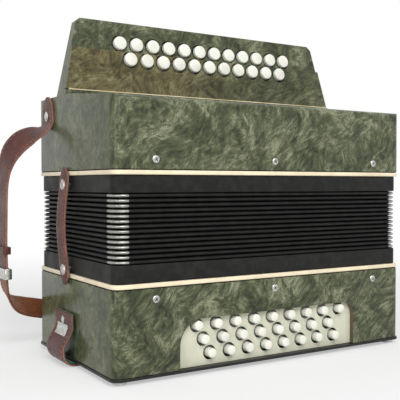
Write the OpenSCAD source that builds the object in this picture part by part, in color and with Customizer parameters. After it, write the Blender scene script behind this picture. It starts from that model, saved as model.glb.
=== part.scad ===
// Two-row button accordion, standing on its bass end.
// Frame: +Z up, -Y towards the listener, +X along the wide front face.
// The origin is the middle of the plane that the four feet stand on.

/* [Body] */
// Width across the wide front face
body_w = 315; // [270:1:380]
// Depth from the front face to the back face
body_d = 172; // [150:1:210]
// Height of the bass case
bass_h = 69.6; // [64:0.1:90]
// Height of the treble case at its front edge
treble_h = 58.4; // [54:0.1:72]
// Rise of the treble lid from its front edge to its level part
lid_rise = 10; // [4:0.5:12]
// Depth of the level part of the treble lid
lid_level_d = 74; // [64:1:84]
// Thickness of the case walls
wall = 5; // [4:0.5:6]
// Thickness of the treble lid
lid_t = 4; // [3:0.5:5]
// Radius of the upright case corners
corner_r = 8; // [4:0.5:12]
// Radius of the lid's front and back edges
lid_r = 5; // [2:0.5:6]

/* [Feet and end cover] */
// Height of the feet under the end cover
foot_h = 3.5; // [3.5:0.1:8]
// Radius of a foot
foot_r = 6; // [4:0.5:9]
// Distance of a foot's centre from the body's faces
foot_inset = 9; // [8:0.5:20]
// Thickness of the end cover
cover_t = 2.5; // [2:0.1:5]
// How far the end cover stands proud of the case
cover_lip = 1; // [0:0.1:2]

/* [Bellows] */
// Number of folds
fold_count = 14; // [10:1:18]
// Height of one closed fold
fold_pitch = 4.09; // [3.5:0.01:5]
// Depth of the groove between two folds
fold_groove = 5; // [3:0.5:7]
// Wall of the folds from groove to air space
fold_wall = 10; // [6:1:14]
// Height of the bellows frame on the bass side
bass_frame_h = 15.2; // [12:0.1:20]
// Height of the bellows frame on the treble side
treble_frame_h = 14.6; // [12:0.1:20]
// Width of the frames' rim
frame_rim = 14; // [10:1:18]
// How far the frames and folds stand back from the case faces
frame_inset = 1.5; // [0.5:0.1:3]
// Height of the light trim between case and frame
trim_h = 4.5; // [3:0.1:7]

/* [Fingerboard] */
// Height of the fingerboard above the lid
board_h = 74; // [70:1:90]
// Half-width lost between the fingerboard's foot and its top
board_taper = 16; // [6:1:24]
// Gap between the fingerboard's foot and the end faces of the case
board_side_gap = 1.5; // [1:0.5:6]
// Distance of the fingerboard's back from the back of the case
board_back = 45; // [38:1:50]
// Thickness of the fingerboard at its top
board_top_t = 7.5; // [7:0.5:10]
// Backward lean of the fingerboard's front
board_lean = 8; // [6:0.5:9]
// Wall of the fingerboard shell
board_wall = 2; // [1.5:0.1:2.4]
// Back wall of the fingerboard shell
board_back_wall = 1.6; // [1.2:0.1:2]
// Thickness of the raised lower front plate
plate_t = 3; // [2:0.5:4]
// Height of the plate's top edge above the lid
plate_top = 45.5; // [40:0.5:50]
// Height of the plinth under the fingerboard
plinth_h = 5.2; // [3:0.1:8]

/* [Treble keys] */
// Buttons in the upper row
treble_upper = 12; // [8:1:12]
// Buttons in the lower row
treble_lower = 11; // [7:1:11]
// Pitch of the buttons in a row
treble_pitch = 17.8; // [17:0.1:19.5]
// Sideways place of the button field's middle
treble_shift = 1; // [-6:0.5:6]
// Radius of a treble button
treble_button_r = 6.6; // [6:0.1:7.2]
// How far a treble button stands out of the board
treble_proud = 3.8; // [3.6:0.1:9]
// Gap round a treble button in its hole
treble_hole_gap = 1.5; // [1.2:0.1:1.5]
// Height of the lower row above the lid
treble_row_z = 38; // [35:0.5:40]
// Height from the lower row to the upper row
treble_row_gap = 15.3; // [15:0.1:17]
// Thickness of a key lever
lever_t = 3; // [2:0.1:3.2]
// Radius of the key axle
axle_r = 1.5; // [1.2:0.1:2]
// Running clearance round the axle
axle_gap = 0.05; // [0.02:0.01:0.1]

/* [Bass buttons] */
// Buttons in the long top row
bass_top_row = 9; // [7:1:9]
// Buttons in each of the two lower rows
bass_low_row = 8; // [6:1:8]
// Pitch of the bass buttons in a row
bass_pitch = 19.8; // [19:0.1:21]
// Height of the lowest bass row above the case's foot
bass_row_z = 10.5; // [10:0.5:14]
// Height from one bass row to the next
bass_row_gap = 12.3; // [12.3:0.1:13.5]
// Radius of a bass button
bass_button_r = 4.1; // [3.8:0.1:5.4]
// Radius of the holes in the bass panel
bass_hole_r = 6.3; // [5.8:0.1:6.4]
// How far a bass button stands out of the panel
bass_proud = 6; // [5:0.5:10]
// Travel of a bass button
bass_travel = 4; // [3:0.1:5]
// Reach of the button window to the left of the middle
window_left = 97.5; // [94:0.5:104]
// Reach of the button window to the right of the middle
window_right = 95; // [92:0.5:104]
// Radius of the window's upper left corner
window_left_r = 22; // [10:1:24]
// Radius of the window's upper right corner
window_right_r = 12; // [8:1:24]
// Height of the button window, which is open at its foot
window_h = 41; // [41:0.5:46]

/* [Straps] */
// Width of the leather bellows strap
bellows_strap_w = 18; // [14:1:24]
// Width of the bass hand strap
hand_strap_w = 40; // [30:1:50]
// Thickness of the strap leather
leather_t = 1.6; // [1.2:0.1:2]
// Thickness of the hand strap's felt lining
felt_t = 1.2; // [0.8:0.1:1.4]
// Height of the hand strap's ends above the feet
hand_strap_top = 46; // [40:1:56]
// Bulge of the hand strap from the end faces
hand_bulge = 9; // [7:0.5:12]
// Thickness of the shoulder strap
shoulder_t = 2.4; // [2:0.1:3]

/* [Hidden] */
$fn = 48;

// Middle of the hand strap and of the bellows strap, from front to back
strap_y = 12;

// Clearances: round what moves, round what fits in, and the glue line between fixed pieces
seat = 0.3;
slip = 0.2;
glue = 0.05;
eps = 0.01;

// Levels
bass_z = foot_h + cover_t;
bass_top = bass_z + bass_h;
bass_frame_z = bass_top + trim_h;
folds_z = bass_frame_z + bass_frame_h;
folds_top = folds_z + fold_count * fold_pitch;
treble_trim_z = folds_top + treble_frame_h;
treble_z = treble_trim_z + trim_h;
lid_front_z = treble_z + treble_h;
lid_z = lid_front_z + lid_rise;
lid_level_y = body_d / 2 - lid_level_d;
lid_slope = atan(lid_rise / (body_d - lid_level_d));

// Treble side: sound board, axle and pallets
pallet_h = 5;
pallet_l = 26;
pallet_w = 2 * (treble_pitch / 2 - lever_t / 2) - 1.8;
arm_h = 4;
treble_deck_t = 4;
treble_block_h = 40;
board_back_y = body_d / 2 - board_back;
board_foot_w = body_w / 2 - board_side_gap;
lean = tan(board_lean);
board_top_z = lid_z + board_h;
plate_foot_z = lid_z + plinth_h + 1;
boss_r = 4;
axle_y = board_back_y - 9;
axle_z = lid_z - lid_t - boss_r - 1;
treble_deck_z = axle_z - 27;
far_pallet_y = -body_d / 2 + wall + 4 + pallet_l / 2;
near_pallet_y = far_pallet_y + pallet_l + 12;
arm_z = treble_deck_z + treble_deck_t + seat + pallet_h + arm_h / 2;

// Bass side: deck, button rows and panel
deck_t = 4;
deck_z = bass_top - 9.6 - deck_t;
bass_block_h = 40;
panel_t = 2;
panel_y = -body_d / 2 + wall + panel_t / 2;
guide_y = -body_d / 2 + 21;
guide_t = 2;
stem_r = 2;
stem_gap = 0.08;
stem_end = guide_y + guide_t + 3;
rocker_y = stem_end + bass_travel + boss_r - 0.5 + 2;
bass_pallet_w = 13;
bass_pallet_l = 22;
bass_row_shift = bass_pitch / 3;

// Bellows strap: two press studs, one on each bellows frame
strap_gap = 1.2;
low_stud_z = bass_frame_z + 4;
high_stud_z = folds_top + 6;
strap_low_z = low_stud_z - 14;
strap_high_z = high_stud_z + 16;

// Shoulder strap: middle line from its left fixing down and round the back, [x outside the end face, y, z, width, turn].
// The places are measured from the end face, the back and the fixing's height, so it follows the case.
fixing_y = body_d / 2 - 30;
fixing_z = lid_z - 17;
strap_route = [
    [1.5, -30, 18, 5, 0], [1.5, -30, 13, 18, 0], [1.5, -30, 7, 24, 0], [1.5, -30, -6, 26, 0],
    [3.8, -29.8, -10.5, 26, 3], [8.8, -28.3, -14.5, 26, 15], [17, -25, -18, 26, 34], [26, -22, -24, 26, 46],
    [33, -19, -33, 26, 50], [37.5, -17, -45, 26, 44], [39.5, -15, -59, 26, 32], [40, -14, -75, 26, 18],
    [40, -13, -93, 26, 6], [40, -12, -111, 26, 0], [39.5, -11, -128, 25, 0], [38.5, -10, -143, 24, 0],
    [37.5, -9, -157, 22, 5], [34.5, -6.5, -168, 20, 20], [27, -1.5, -177, 19, 42], [16, 4.5, -182, 19, 66],
    [2, 9.5, -186, 19, 82], [-14, 13, -189.5, 19, 90], [-36, 15, -192, 19, 90], [-70, 16, -194, 19, 90],
    [-110, 16.5, -195, 19, 90], [-157, 16.5, -195.5, 19, 90]];

function numbered(stem, i) = str(stem, i < 10 ? "0" : "", i);
function unit(v) = v / norm(v);

module rounded_rect(w, d, r) {
    square([w - 2 * r, d], center = true);
    square([w, d - 2 * r], center = true);
    for (x = [-1, 1], y = [-1, 1]) translate([x * (w / 2 - r), y * (d / 2 - r)]) circle(r);
}

module rounded_ring(w, d, r, rim, h) {
    linear_extrude(h) difference() {
        rounded_rect(w, d, r);
        square([w - 2 * rim, d - 2 * rim], center = true);
    }
}

// Turns an outline drawn as [y, z] into a solid of width w across X
module across_x(w) {
    rotate([90, 0, 90]) translate([0, 0, -w / 2]) linear_extrude(w) children();
}

// Turns an outline drawn as [x, z] into a solid of depth d that starts at y
module along_y(y, d) {
    translate([0, y + d, 0]) rotate([90, 0, 0]) linear_extrude(d) children();
}

// A straight bar between two points of an outline
module bar(a, b, h) {
    v = b - a;
    translate(a) rotate(atan2(v[1], v[0])) translate([0, -h / 2]) square([norm(v), h]);
}

module slot(length, width) {
    square([length - width, width], center = true);
    for (x = [-1, 1]) translate([x * (length - width) / 2, 0]) circle(width / 2);
}

module face_screw(x, z) {
    translate([x, -body_d / 2 - glue, z]) rotate([90, 0, 0]) difference() {
        cylinder(r = 3.2, h = 1);
        translate([-2.6, -0.4, 0.5]) cube([5.2, 0.8, 1]);
    }
}

module case_screws(z) {
    for (x = [-1, 0, 1]) face_screw(x * (body_w / 2 - 37.5), z);
}

module bellows_frame(z, h) {
    color("#1c1c1a") translate([0, 0, z + glue])
        rounded_ring(body_w - 2 * frame_inset, body_d - 2 * frame_inset, corner_r - frame_inset, frame_rim, h - glue);
}

module trim(z) {
    color("ivory") translate([0, 0, z + glue]) rounded_ring(body_w, body_d, corner_r, frame_rim, trim_h - glue);
}

// ---------------------------------------------------------------- bass side

module window_outline(grow) {
    foot = bass_z - 1;
    top = bass_z + window_h;
    left = window_left_r - window_left;
    right = window_right - window_right_r;
    polygon([[-window_left - grow, foot], [window_right + grow, foot], [window_right + grow, top - window_right_r],
             [right, top + grow], [left, top + grow], [-window_left - grow, top - window_left_r]]);
    translate([right, top - window_right_r]) circle(window_right_r + grow);
    translate([left, top - window_left_r]) circle(window_left_r + grow);
}

module bass_case() {
    color("darkolivegreen") difference() {
        translate([0, 0, bass_z]) linear_extrude(bass_h) difference() {
            rounded_rect(body_w, body_d, corner_r);
            square([body_w - 2 * wall, body_d - 2 * wall], center = true);
        }
        along_y(-body_d / 2 - 1, wall + 2) window_outline(0);
    }
    trim(bass_top);
    bellows_frame(bass_frame_z, bass_frame_h);
    color("silver") case_screws(bass_top - 8.6);
    color("silver") press_stud(low_stud_z);
}

// Low stud on a bellows frame; the strap's cap lies over it
module press_stud(z) {
    translate([-body_w / 2 + frame_inset - glue, strap_y, z]) rotate([0, -90, 0]) cylinder(r = 4, h = frame_inset + 0.7);
}

function bass_rows() = [
    for (i = [0 : bass_top_row - 1]) [(i - (bass_top_row - 1) / 2) * bass_pitch, 2],
    for (row = [1, 0]) for (i = [0 : bass_low_row - 1])
        [(i - (bass_top_row - 1) / 2) * bass_pitch + (2 - row) * bass_row_shift, row]];
function bass_z_of(row) = bass_z + bass_row_z + row * bass_row_gap;
function bass_pallet_y(row) = rocker_y + 21 + (2 - row) * (bass_pallet_l + 6);

module bass_button_panel() {
    color("beige") difference() {
        along_y(panel_y - panel_t / 2, panel_t) intersection() {
            window_outline(6);
            translate([-body_w / 2, bass_z + slip]) square([body_w, bass_h]);
        }
        for (b = bass_rows()) translate([b[0], panel_y, bass_z_of(b[1])])
            rotate([90, 0, 0]) cylinder(r = bass_hole_r, h = 2 * panel_t, center = true);
    }
}

module bass_end_cover() {
    color("#222222") translate([0, 0, foot_h]) linear_extrude(cover_t)
        rounded_rect(body_w + 2 * cover_lip, body_d + 2 * cover_lip, corner_r);
    color("gainsboro") for (x = [-1, 1], y = [-1, 1])
        translate([x * (body_w / 2 - foot_inset), y * (body_d / 2 - foot_inset), 0]) cylinder(r = foot_r, h = foot_h - glue);
}

// Long reed block with a slotted metal reed plate on each side, drawn upwards from its foot
module reed_block(length, height, tongues) {
    block_t = 16;
    plate_h = height - 8;
    step = (length - 20) / tongues;
    color("burlywood") translate([-length / 2, -block_t / 2, 0]) cube([length, block_t, height]);
    color("lightsteelblue") for (side = [-1, 1]) translate([0, side * (block_t / 2 + 0.6), 4]) difference() {
        translate([-length / 2 + 6, -0.5, 0]) cube([length - 12, 1, plate_h]);
        for (i = [0 : tongues - 1]) translate([-length / 2 + 10 + (i + 0.5) * step - 2, -1, 4])
            cube([4, 2, plate_h - 8]);
    }
}

module bass_reed_bank() {
    color("wheat") difference() {
        translate([0, 0, deck_z]) linear_extrude(deck_t)
            square([body_w - 2 * (wall + slip), body_d - 2 * (wall + slip)], center = true);
        for (b = bass_rows()) translate([b[0], bass_pallet_y(b[1]), deck_z - 1]) cylinder(r = 4, h = deck_t + 2);
    }
    for (y = [-1, 1]) translate([0, y * body_d / 7, deck_z + deck_t + 0.1]) reed_block(body_w - 85, bass_block_h, 12);
}

module bass_action() {
    inner_w = body_w - 2 * (wall + seat);
    color("silver") difference() {
        translate([-inner_w / 2, guide_y, bass_z + 2]) cube([inner_w, guide_t, deck_z - bass_z - 12]);
        for (b = bass_rows()) translate([b[0], guide_y + guide_t / 2, bass_z_of(b[1])])
            rotate([90, 0, 0]) cylinder(r = stem_r + stem_gap, h = 2 * guide_t, center = true);
    }
    color("silver") for (row = [0 : 2]) translate([0, rocker_y, bass_z_of(row)])
        rotate([0, 90, 0]) cylinder(r = axle_r, h = inner_w, center = true);
    for (b = bass_rows()) bass_pallet(b[0], b[1]);
}

// Rocker on its shaft with the pallet that covers one hole in the deck
module bass_pallet(x, row) {
    pallet_top = deck_z - seat;
    foot = [rocker_y, bass_z_of(row)];
    elbow = [bass_pallet_y(row), pallet_top - pallet_h - 1.5];
    color("silver") translate([x, 0, 0]) across_x(2.4) difference() {
        union() {
            translate(foot) circle(boss_r - 0.5);
            bar(foot, elbow, 3);
        }
        translate(foot) circle(axle_r + axle_gap);
    }
    color("peru") translate([x - bass_pallet_w / 2, bass_pallet_y(row) - bass_pallet_l / 2, pallet_top - pallet_h + slip])
        cube([bass_pallet_w, bass_pallet_l, pallet_h - slip]);
}

module bass_button(i) {
    b = bass_rows()[i];
    front = panel_y - panel_t / 2 - bass_proud;
    back = panel_y + panel_t / 2 + 1;
    translate([b[0], 0, bass_z_of(b[1])]) rotate([-90, 0, 0]) {
        color("ivory") translate([0, 0, front]) cylinder(r = bass_button_r, h = back - front);
        color("silver") translate([0, 0, back + 0.05]) cylinder(r = stem_r, h = stem_end - back);
        color("gray") translate([0, 0, back + 0.2]) difference() {
            cylinder(r = 3.6, h = guide_y - back - bass_travel - 0.8);
            translate([0, 0, -1]) cylinder(r = 2.4, h = guide_y - back);
        }
    }
}

// Layer of the hand strap, drawn as [x, z]: it lies under the case, turns out in a bulge and climbs both end faces
module strap_layer(inner, outer) {
    r = hand_bulge;
    face_x = body_w / 2 + cover_lip + slip;
    bend_x = face_x + r - 1;
    bend_z = foot_h + r;
    for (side = [0, 1]) mirror([side, 0]) {
        polygon([[face_x + inner, hand_strap_top], [face_x + outer, hand_strap_top],
                 [face_x + outer, hand_strap_top - 14], [bend_x + outer, bend_z + 5], [bend_x + outer, bend_z],
                 [bend_x + inner, bend_z], [bend_x + inner, bend_z + 5], [face_x + inner, hand_strap_top - 14]]);
        translate([bend_x - r, bend_z]) intersection() {
            difference() {
                circle(r + outer);
                circle(r + inner);
            }
            translate([0, -2 * r]) square(2 * r);
        }
    }
    translate([r - bend_x, foot_h - outer]) square([2 * (bend_x - r), outer - inner]);
}

module bass_hand_strap() {
    y = strap_y - hand_strap_w / 2;
    gap = 0.15;
    color("saddlebrown") along_y(y, hand_strap_w) strap_layer(gap + felt_t, gap + felt_t + leather_t);
    color("darkgreen") along_y(y + 1.5, hand_strap_w - 3) strap_layer(gap, gap + felt_t - glue);
    color("silver") for (side = [-1, 1])
        translate([side * (body_w / 2 + cover_lip + slip + gap + felt_t + leather_t + glue), strap_y, hand_strap_top - 7])
            rotate([0, side * 90, 0]) cylinder(r = 3.5, h = 1);
}

// ------------------------------------------------------------------ bellows

// Saw-toothed side of the folds, drawn as [across, z]
module fold_outline(half) {
    steps = 2 * fold_count;
    side = [for (i = [0 : steps]) [half - (i % 2 == 0 ? fold_groove : 0), folds_z + i * fold_pitch / 2]];
    polygon(concat(side, [for (i = [steps : -1 : 0]) [-side[i][0], side[i][1]]]));
}

module bellows_folds() {
    half_w = body_w / 2 - frame_inset;
    half_d = body_d / 2 - frame_inset;
    air = 2 * (fold_groove + fold_wall);
    color("#262624") difference() {
        intersection() {
            along_y(-half_d, 2 * half_d) fold_outline(half_w);
            across_x(2 * half_w) fold_outline(half_d);
        }
        translate([-half_w + air / 2, -half_d + air / 2, folds_z - 1])
            cube([2 * half_w - air, 2 * half_d - air, fold_count * fold_pitch + 2]);
    }
}

module bellows_strap() {
    x = -body_w / 2 - strap_gap;
    half = bellows_strap_w / 2;
    tip = 9;
    color("saddlebrown") translate([x, 0, 0]) rotate([90, 0, -90]) linear_extrude(leather_t + 0.6) polygon([
        [-strap_y - half, strap_low_z + tip], [-strap_y, strap_low_z], [-strap_y + half, strap_low_z + tip],
        [-strap_y + half, strap_high_z - tip], [-strap_y, strap_high_z], [-strap_y - half, strap_high_z - tip]]);
    color("silver") for (z = [low_stud_z, high_stud_z])
        translate([x - leather_t - 0.6 - glue, strap_y, z]) rotate([0, -90, 0]) cylinder(r = 5.5, h = 1.6);
}

// -------------------------------------------------------------- treble side

// Side view of the treble case, drawn as [y, z], with the lid's front and back edges rounded
module treble_outline() {
    y0 = -body_d / 2;
    z0 = treble_z + glue;
    front = [y0 + lid_r, lid_front_z + lid_r * tan(lid_slope) - lid_r / cos(lid_slope)];
    back = [-y0 - lid_r, lid_z - lid_r];
    polygon([[y0, z0], [y0, front[1]], front, front + lid_r * [-sin(lid_slope), cos(lid_slope)],
             [lid_level_y, lid_z], [back[0], lid_z], back, [-y0, back[1]], [-y0, z0]]);
    translate(front) circle(lid_r);
    translate(back) circle(lid_r);
}

module treble_hollow() {
    y0 = -body_d / 2 + wall;
    z0 = lid_front_z - lid_t + wall * tan(lid_slope);
    polygon([[y0, treble_z - 1], [y0, z0], [lid_level_y, lid_z - lid_t], [-y0, lid_z - lid_t], [-y0, treble_z - 1]]);
}

module treble_case() {
    sound_slots = 9;
    slot_l = 24;
    slot_pitch = (body_w - 60) / sound_slots;
    color("darkolivegreen") difference() {
        intersection() {
            translate([0, 0, treble_z - 1]) linear_extrude(treble_h + lid_rise + 2)
                rounded_rect(body_w, body_d, corner_r);
            across_x(body_w + 2) treble_outline();
        }
        across_x(body_w - 2 * wall) treble_hollow();
        for (row = [0, 1], i = [0 : sound_slots - 1])
            translate([(i - (sound_slots - 1) / 2) * slot_pitch, far_pallet_y + row * (near_pallet_y - far_pallet_y),
                       lid_front_z - 2 * lid_t]) linear_extrude(lid_rise + 3 * lid_t) slot(slot_l, 5);
        board_passage(lid_z - lid_t - 1, lid_t + 2);
    }
    trim(treble_trim_z);
    bellows_frame(folds_top, treble_frame_h);
    color("silver") case_screws(treble_z + 8);
    color("silver") press_stud(high_stud_z);
}

// Room that the key levers need where they pass from the case into the fingerboard
module board_passage(z, h) {
    half = treble_upper * treble_pitch / 2 + abs(treble_shift) + 4;
    translate([-half, axle_y - boss_r, z]) cube([2 * half, board_back_y - board_back_wall - axle_y + boss_r, h]);
}

module treble_reed_bank() {
    color("wheat") difference() {
        translate([0, 0, treble_deck_z]) linear_extrude(treble_deck_t)
            square([body_w - 2 * (wall + slip), body_d - 2 * (wall + slip)], center = true);
        for (k = treble_keys()) translate([k[0], k[1] == 1 ? far_pallet_y : near_pallet_y, treble_deck_z - 1])
            cylinder(r = 4, h = treble_deck_t + 2);
    }
    for (y = [-1, 1]) translate([0, y * body_d / 7, treble_deck_z - 0.1]) mirror([0, 0, 1])
        reed_block(body_w - 65, treble_block_h, 14);
}

// Width of the fingerboard seen from the front, drawn as [x, z] between two heights
module board_face(z0, z1, cut) {
    k = board_taper / board_h;
    w0 = board_foot_w - (z0 - lid_z) * k;
    w1 = board_foot_w - (z1 - lid_z) * k;
    polygon([[-w0, z0], [w0, z0], [w1 + cut * k, z1 - cut], [w1 - cut, z1], [-w1 + cut, z1], [-w1 - cut * k, z1 - cut]]);
}

// Front surface of the shell behind the plate, at a height
function board_front(z) = board_back_y - board_top_t - (board_top_z - z) * lean;
function plate_front(z) = board_front(z) - plate_t;

module key_holes() {
    depth = plate_t + board_wall + 1;
    for (k = treble_keys()) translate([k[0], key_face(k[1]), key_z(k[1])]) rotate([90 - board_lean, 0, 0])
        translate([0, 0, -depth]) cylinder(r = treble_button_r + treble_hole_gap, h = 3 * depth);
}

module fingerboard() {
    plinth_z = lid_z + plinth_h;
    plinth_y = plate_front(plinth_z) - 1.5;
    roof_z = key_z(1) + treble_button_r + 3;
    inner_y = board_front(plinth_z) + board_wall;
    color("olive") difference() {
        intersection() {
            across_x(body_w) polygon([[plinth_y, lid_z], [plinth_y, plinth_z], [board_front(plinth_z), plinth_z],
                [board_front(board_top_z), board_top_z], [board_back_y, board_top_z], [board_back_y, lid_z]]);
            along_y(plinth_y - 1, body_d) board_face(lid_z, board_top_z, 4);
        }
        across_x(treble_upper * treble_pitch + 2 * abs(treble_shift) + 8) polygon([
            [inner_y, lid_z - 1], [inner_y, plinth_z], [board_front(roof_z) + board_wall, roof_z],
            [board_back_y - board_back_wall, roof_z], [board_back_y - board_back_wall, lid_z - 1]]);
        key_holes();
    }
    plate_z1 = lid_z + plate_top;
    color("olive") difference() {
        intersection() {
            across_x(body_w) polygon([[plate_front(plate_foot_z), plate_foot_z], [plate_front(plate_z1), plate_z1],
                [board_front(plate_z1) - 0.1, plate_z1], [board_front(plate_foot_z) - 0.1, plate_foot_z]]);
            along_y(plinth_y - 1, body_d) board_face(plate_foot_z, plate_z1, eps);
        }
        key_holes();
    }
    color("gold") translate([-board_foot_w + 4, plate_front(plate_foot_z) - 0.8, plinth_z + glue])
        cube([2 * board_foot_w - 8, plate_t, plate_foot_z - plinth_z - 2 * glue]);
    color("silver") translate([0, axle_y, axle_z]) rotate([0, 90, 0])
        cylinder(r = axle_r, h = body_w - 2 * (wall + seat), center = true);
}

// Keys as [x, row], the upper row first
function treble_keys() = [
    for (i = [0 : treble_upper - 1]) [(i - (treble_upper - 1) / 2) * treble_pitch + treble_shift, 1],
    for (i = [0 : treble_lower - 1]) [(i - (treble_lower - 1) / 2) * treble_pitch + treble_shift, 0]];
function key_z(row) = lid_z + treble_row_z + row * treble_row_gap;
function key_face(row) = row == 1 ? board_front(key_z(1)) : plate_front(key_z(0));

module treble_key(i) {
    k = treble_keys()[i];
    row = k[1];
    pallet_y = row == 1 ? far_pallet_y : near_pallet_y;
    pivot = [axle_y, axle_z];
    bar_t = 2;
    behind = 1.2;
    top = [max(axle_y, board_front(key_z(row) + 3) + board_wall + slip + bar_t / 2 + 0.2), key_z(row) + 3];
    elbow = [pallet_y + pallet_l / 2, arm_z];
    bar_y = pivot[0] + (top[0] - pivot[0]) * (key_z(row) - pivot[1]) / (top[1] - pivot[1]);
    stem_l = (bar_y - bar_t / 2 - key_face(row)) / cos(board_lean) - behind - seat;
    translate([k[0], 0, 0]) {
        color("lightgray") across_x(lever_t) difference() {
            union() {
                translate(pivot) circle(boss_r);
                bar(pivot, top, bar_t);
                bar(pivot, elbow, arm_h);
                translate([pallet_y - 8, arm_z - arm_h / 2]) square([pallet_l / 2 + 8 + 1, arm_h]);
            }
            translate(pivot) circle(axle_r + axle_gap);
        }
        color("ivory") translate([0, key_face(row), key_z(row)]) rotate([90 - board_lean, 0, 0]) {
            translate([0, 0, -behind]) cylinder(r = treble_button_r, h = treble_proud + behind);
            translate([0, 0, -behind - stem_l]) cylinder(r = 1.4, h = stem_l + eps);
        }
        color("peru") translate([-pallet_w / 2, pallet_y - pallet_l / 2, arm_z - arm_h / 2 - pallet_h])
            cube([pallet_w, pallet_l, pallet_h - glue]);
        color("gray") translate([lever_t / 2 + slip, axle_y, axle_z]) rotate([0, 90, 0]) difference() {
            cylinder(r = 2.8, h = 2.5);
            translate([0, 0, -1]) cylinder(r = axle_r + 0.3, h = 5);
        }
    }
}

// ----------------------------------------------------------- shoulder strap

function place(p, side) = [side * (body_w / 2 + p[0]), body_d / 2 + p[1], fixing_z + p[2]];

// Corners of the strap's section at point i of its route
function strap_ring(pts, i) =
    let (last = len(pts) - 1,
         along = unit(pts[min(i + 1, last)][0] - pts[max(i - 1, 0)][0]),
         raw = pts[i][2],
         w = unit(raw - (raw * along) * along),
         n = cross(along, w),
         a = w * pts[i][1] / 2,
         b = n * shoulder_t / 2,
         c = pts[i][0])
    [c - a - b, c + a - b, c + a + b, c - a + b];

module shoulder_strap() {
    half = [for (p = strap_route) [place(p, -1), p[3], [0, cos(p[4]), sin(p[4])]]];
    other = [for (j = [len(strap_route) - 2 : -1 : 0]) let (p = strap_route[j])
        [place(p, 1), p[3], [0, -cos(p[4]), sin(p[4])]]];
    pts = concat(half, other);
    n = len(pts);
    rings = [for (i = [0 : n - 1]) strap_ring(pts, i)];
    color("saddlebrown") polyhedron(
        points = [for (r = rings) for (c = r) c],
        faces = concat([[0, 1, 2, 3]],
            [for (i = [0 : n - 2]) for (j = [0 : 3]) let (a = 4 * i + j, b = 4 * i + (j + 1) % 4)
                each [[a, a + 4, b], [b, a + 4, b + 4]]],
            [[4 * n - 1, 4 * n - 2, 4 * n - 3, 4 * n - 4]]));
    color("silver") for (side = [-1, 1])
        translate([side * (body_w / 2 + 1.5 + shoulder_t / 2 + glue), fixing_y, fixing_z]) rotate([0, side * 90, 0])
            cylinder(r = 4.5, h = 1.5);
    color("silver") strap_loop([38.2, -9.7, -147], 10);
    color("saddlebrown") strap_loop([39.6, -11.2, -125], 7);
}

// A frame round the hanging length of the strap, at a place of its route
module strap_loop(p, h) {
    rim = 2;
    open_x = shoulder_t + 1.2;
    open_y = 28;
    translate(place(p, -1)) difference() {
        cube([open_x + 2 * rim, open_y + 2 * rim, h], center = true);
        cube([open_x, open_y, h + 2], center = true);
    }
}

bass_case();
bass_button_panel();
bass_end_cover();
bass_reed_bank();
bass_action();
bass_hand_strap();
bellows_folds();
treble_case();
treble_reed_bank();
fingerboard();
bellows_strap();
shoulder_strap();
for (i = [1 : treble_upper + treble_lower])
    treble_key(i - 1);
for (i = [1 : bass_top_row + 2 * bass_low_row])
    bass_button(i - 1);
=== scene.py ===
import math
from collections import namedtuple

import bmesh
import bpy
from bpy.props import FloatProperty, FloatVectorProperty, PointerProperty
from mathutils import Matrix, Vector


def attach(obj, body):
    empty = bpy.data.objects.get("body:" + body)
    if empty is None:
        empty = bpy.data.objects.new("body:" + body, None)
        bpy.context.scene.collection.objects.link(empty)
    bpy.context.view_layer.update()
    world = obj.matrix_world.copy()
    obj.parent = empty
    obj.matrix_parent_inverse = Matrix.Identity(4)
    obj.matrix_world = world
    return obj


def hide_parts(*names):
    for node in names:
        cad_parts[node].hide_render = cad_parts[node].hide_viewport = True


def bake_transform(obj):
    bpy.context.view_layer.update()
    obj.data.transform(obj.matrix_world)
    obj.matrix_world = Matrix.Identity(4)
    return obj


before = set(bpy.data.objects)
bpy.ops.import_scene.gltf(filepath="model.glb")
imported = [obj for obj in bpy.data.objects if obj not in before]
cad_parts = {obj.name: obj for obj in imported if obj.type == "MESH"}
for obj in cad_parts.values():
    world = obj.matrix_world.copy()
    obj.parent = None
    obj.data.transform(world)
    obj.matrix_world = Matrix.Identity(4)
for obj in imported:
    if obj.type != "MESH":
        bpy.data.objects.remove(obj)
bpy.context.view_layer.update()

bl_info = {
    "name": "Two-row button accordion",
    "version": (1, 0, 0),
    "blender": (4, 5, 0),
    "location": "View3D > Sidebar > Accordion",
    "description": "Dresses the packed button accordion with finished pieces and a plain studio",
    "category": "Object",
}

MM = 0.001
CAMERA_PLACE = (-0.3923, -0.5944, 0.1595)
CAMERA_AIM = (0.5250, 0.8508, -0.0220)
LAMP_TARGET = (0, 0, 0.16)
FLOOR_RADIUS = 6

# ------------------------------------------------------------------ the frame's solids

Solid = namedtuple("Solid", "lo hi points faces")


def solids(node):
    """The separate solids of a CAD node in millimetres, the one with the largest box first."""
    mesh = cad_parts[node].data
    place_of, index = {}, []
    for v in mesh.vertices:
        place = tuple(round(c / MM, 3) for c in v.co)
        index.append(place_of.setdefault(place, len(place_of)))
    points = list(place_of)
    owner = list(range(len(points)))

    def root(i):
        while owner[i] != i:
            owner[i] = owner[owner[i]]
            i = owner[i]
        return i

    faces = []
    for polygon in mesh.polygons:
        corners = list(dict.fromkeys(index[i] for i in polygon.vertices))
        if len(corners) > 2:
            faces.append(corners)
            for c in corners[1:]:
                owner[root(c)] = root(corners[0])
    groups = {}
    for face in faces:
        groups.setdefault(root(face[0]), []).append(face)
    found = []
    for group in groups.values():
        used = sorted({c for face in group for c in face})
        renumber = {old: new for new, old in enumerate(used)}
        kept = [Vector(points[i]) for i in used]
        lo = Vector(min(p[k] for p in kept) for k in range(3))
        hi = Vector(max(p[k] for p in kept) for k in range(3))
        found.append(Solid(lo, hi, kept, [[renumber[c] for c in face] for face in group]))
    size = lambda s: math.prod(max(0.01, s.hi[k] - s.lo[k]) for k in range(3))
    return sorted(found, key=size, reverse=True)


def middle(solid):
    return (solid.lo + solid.hi) / 2


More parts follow.
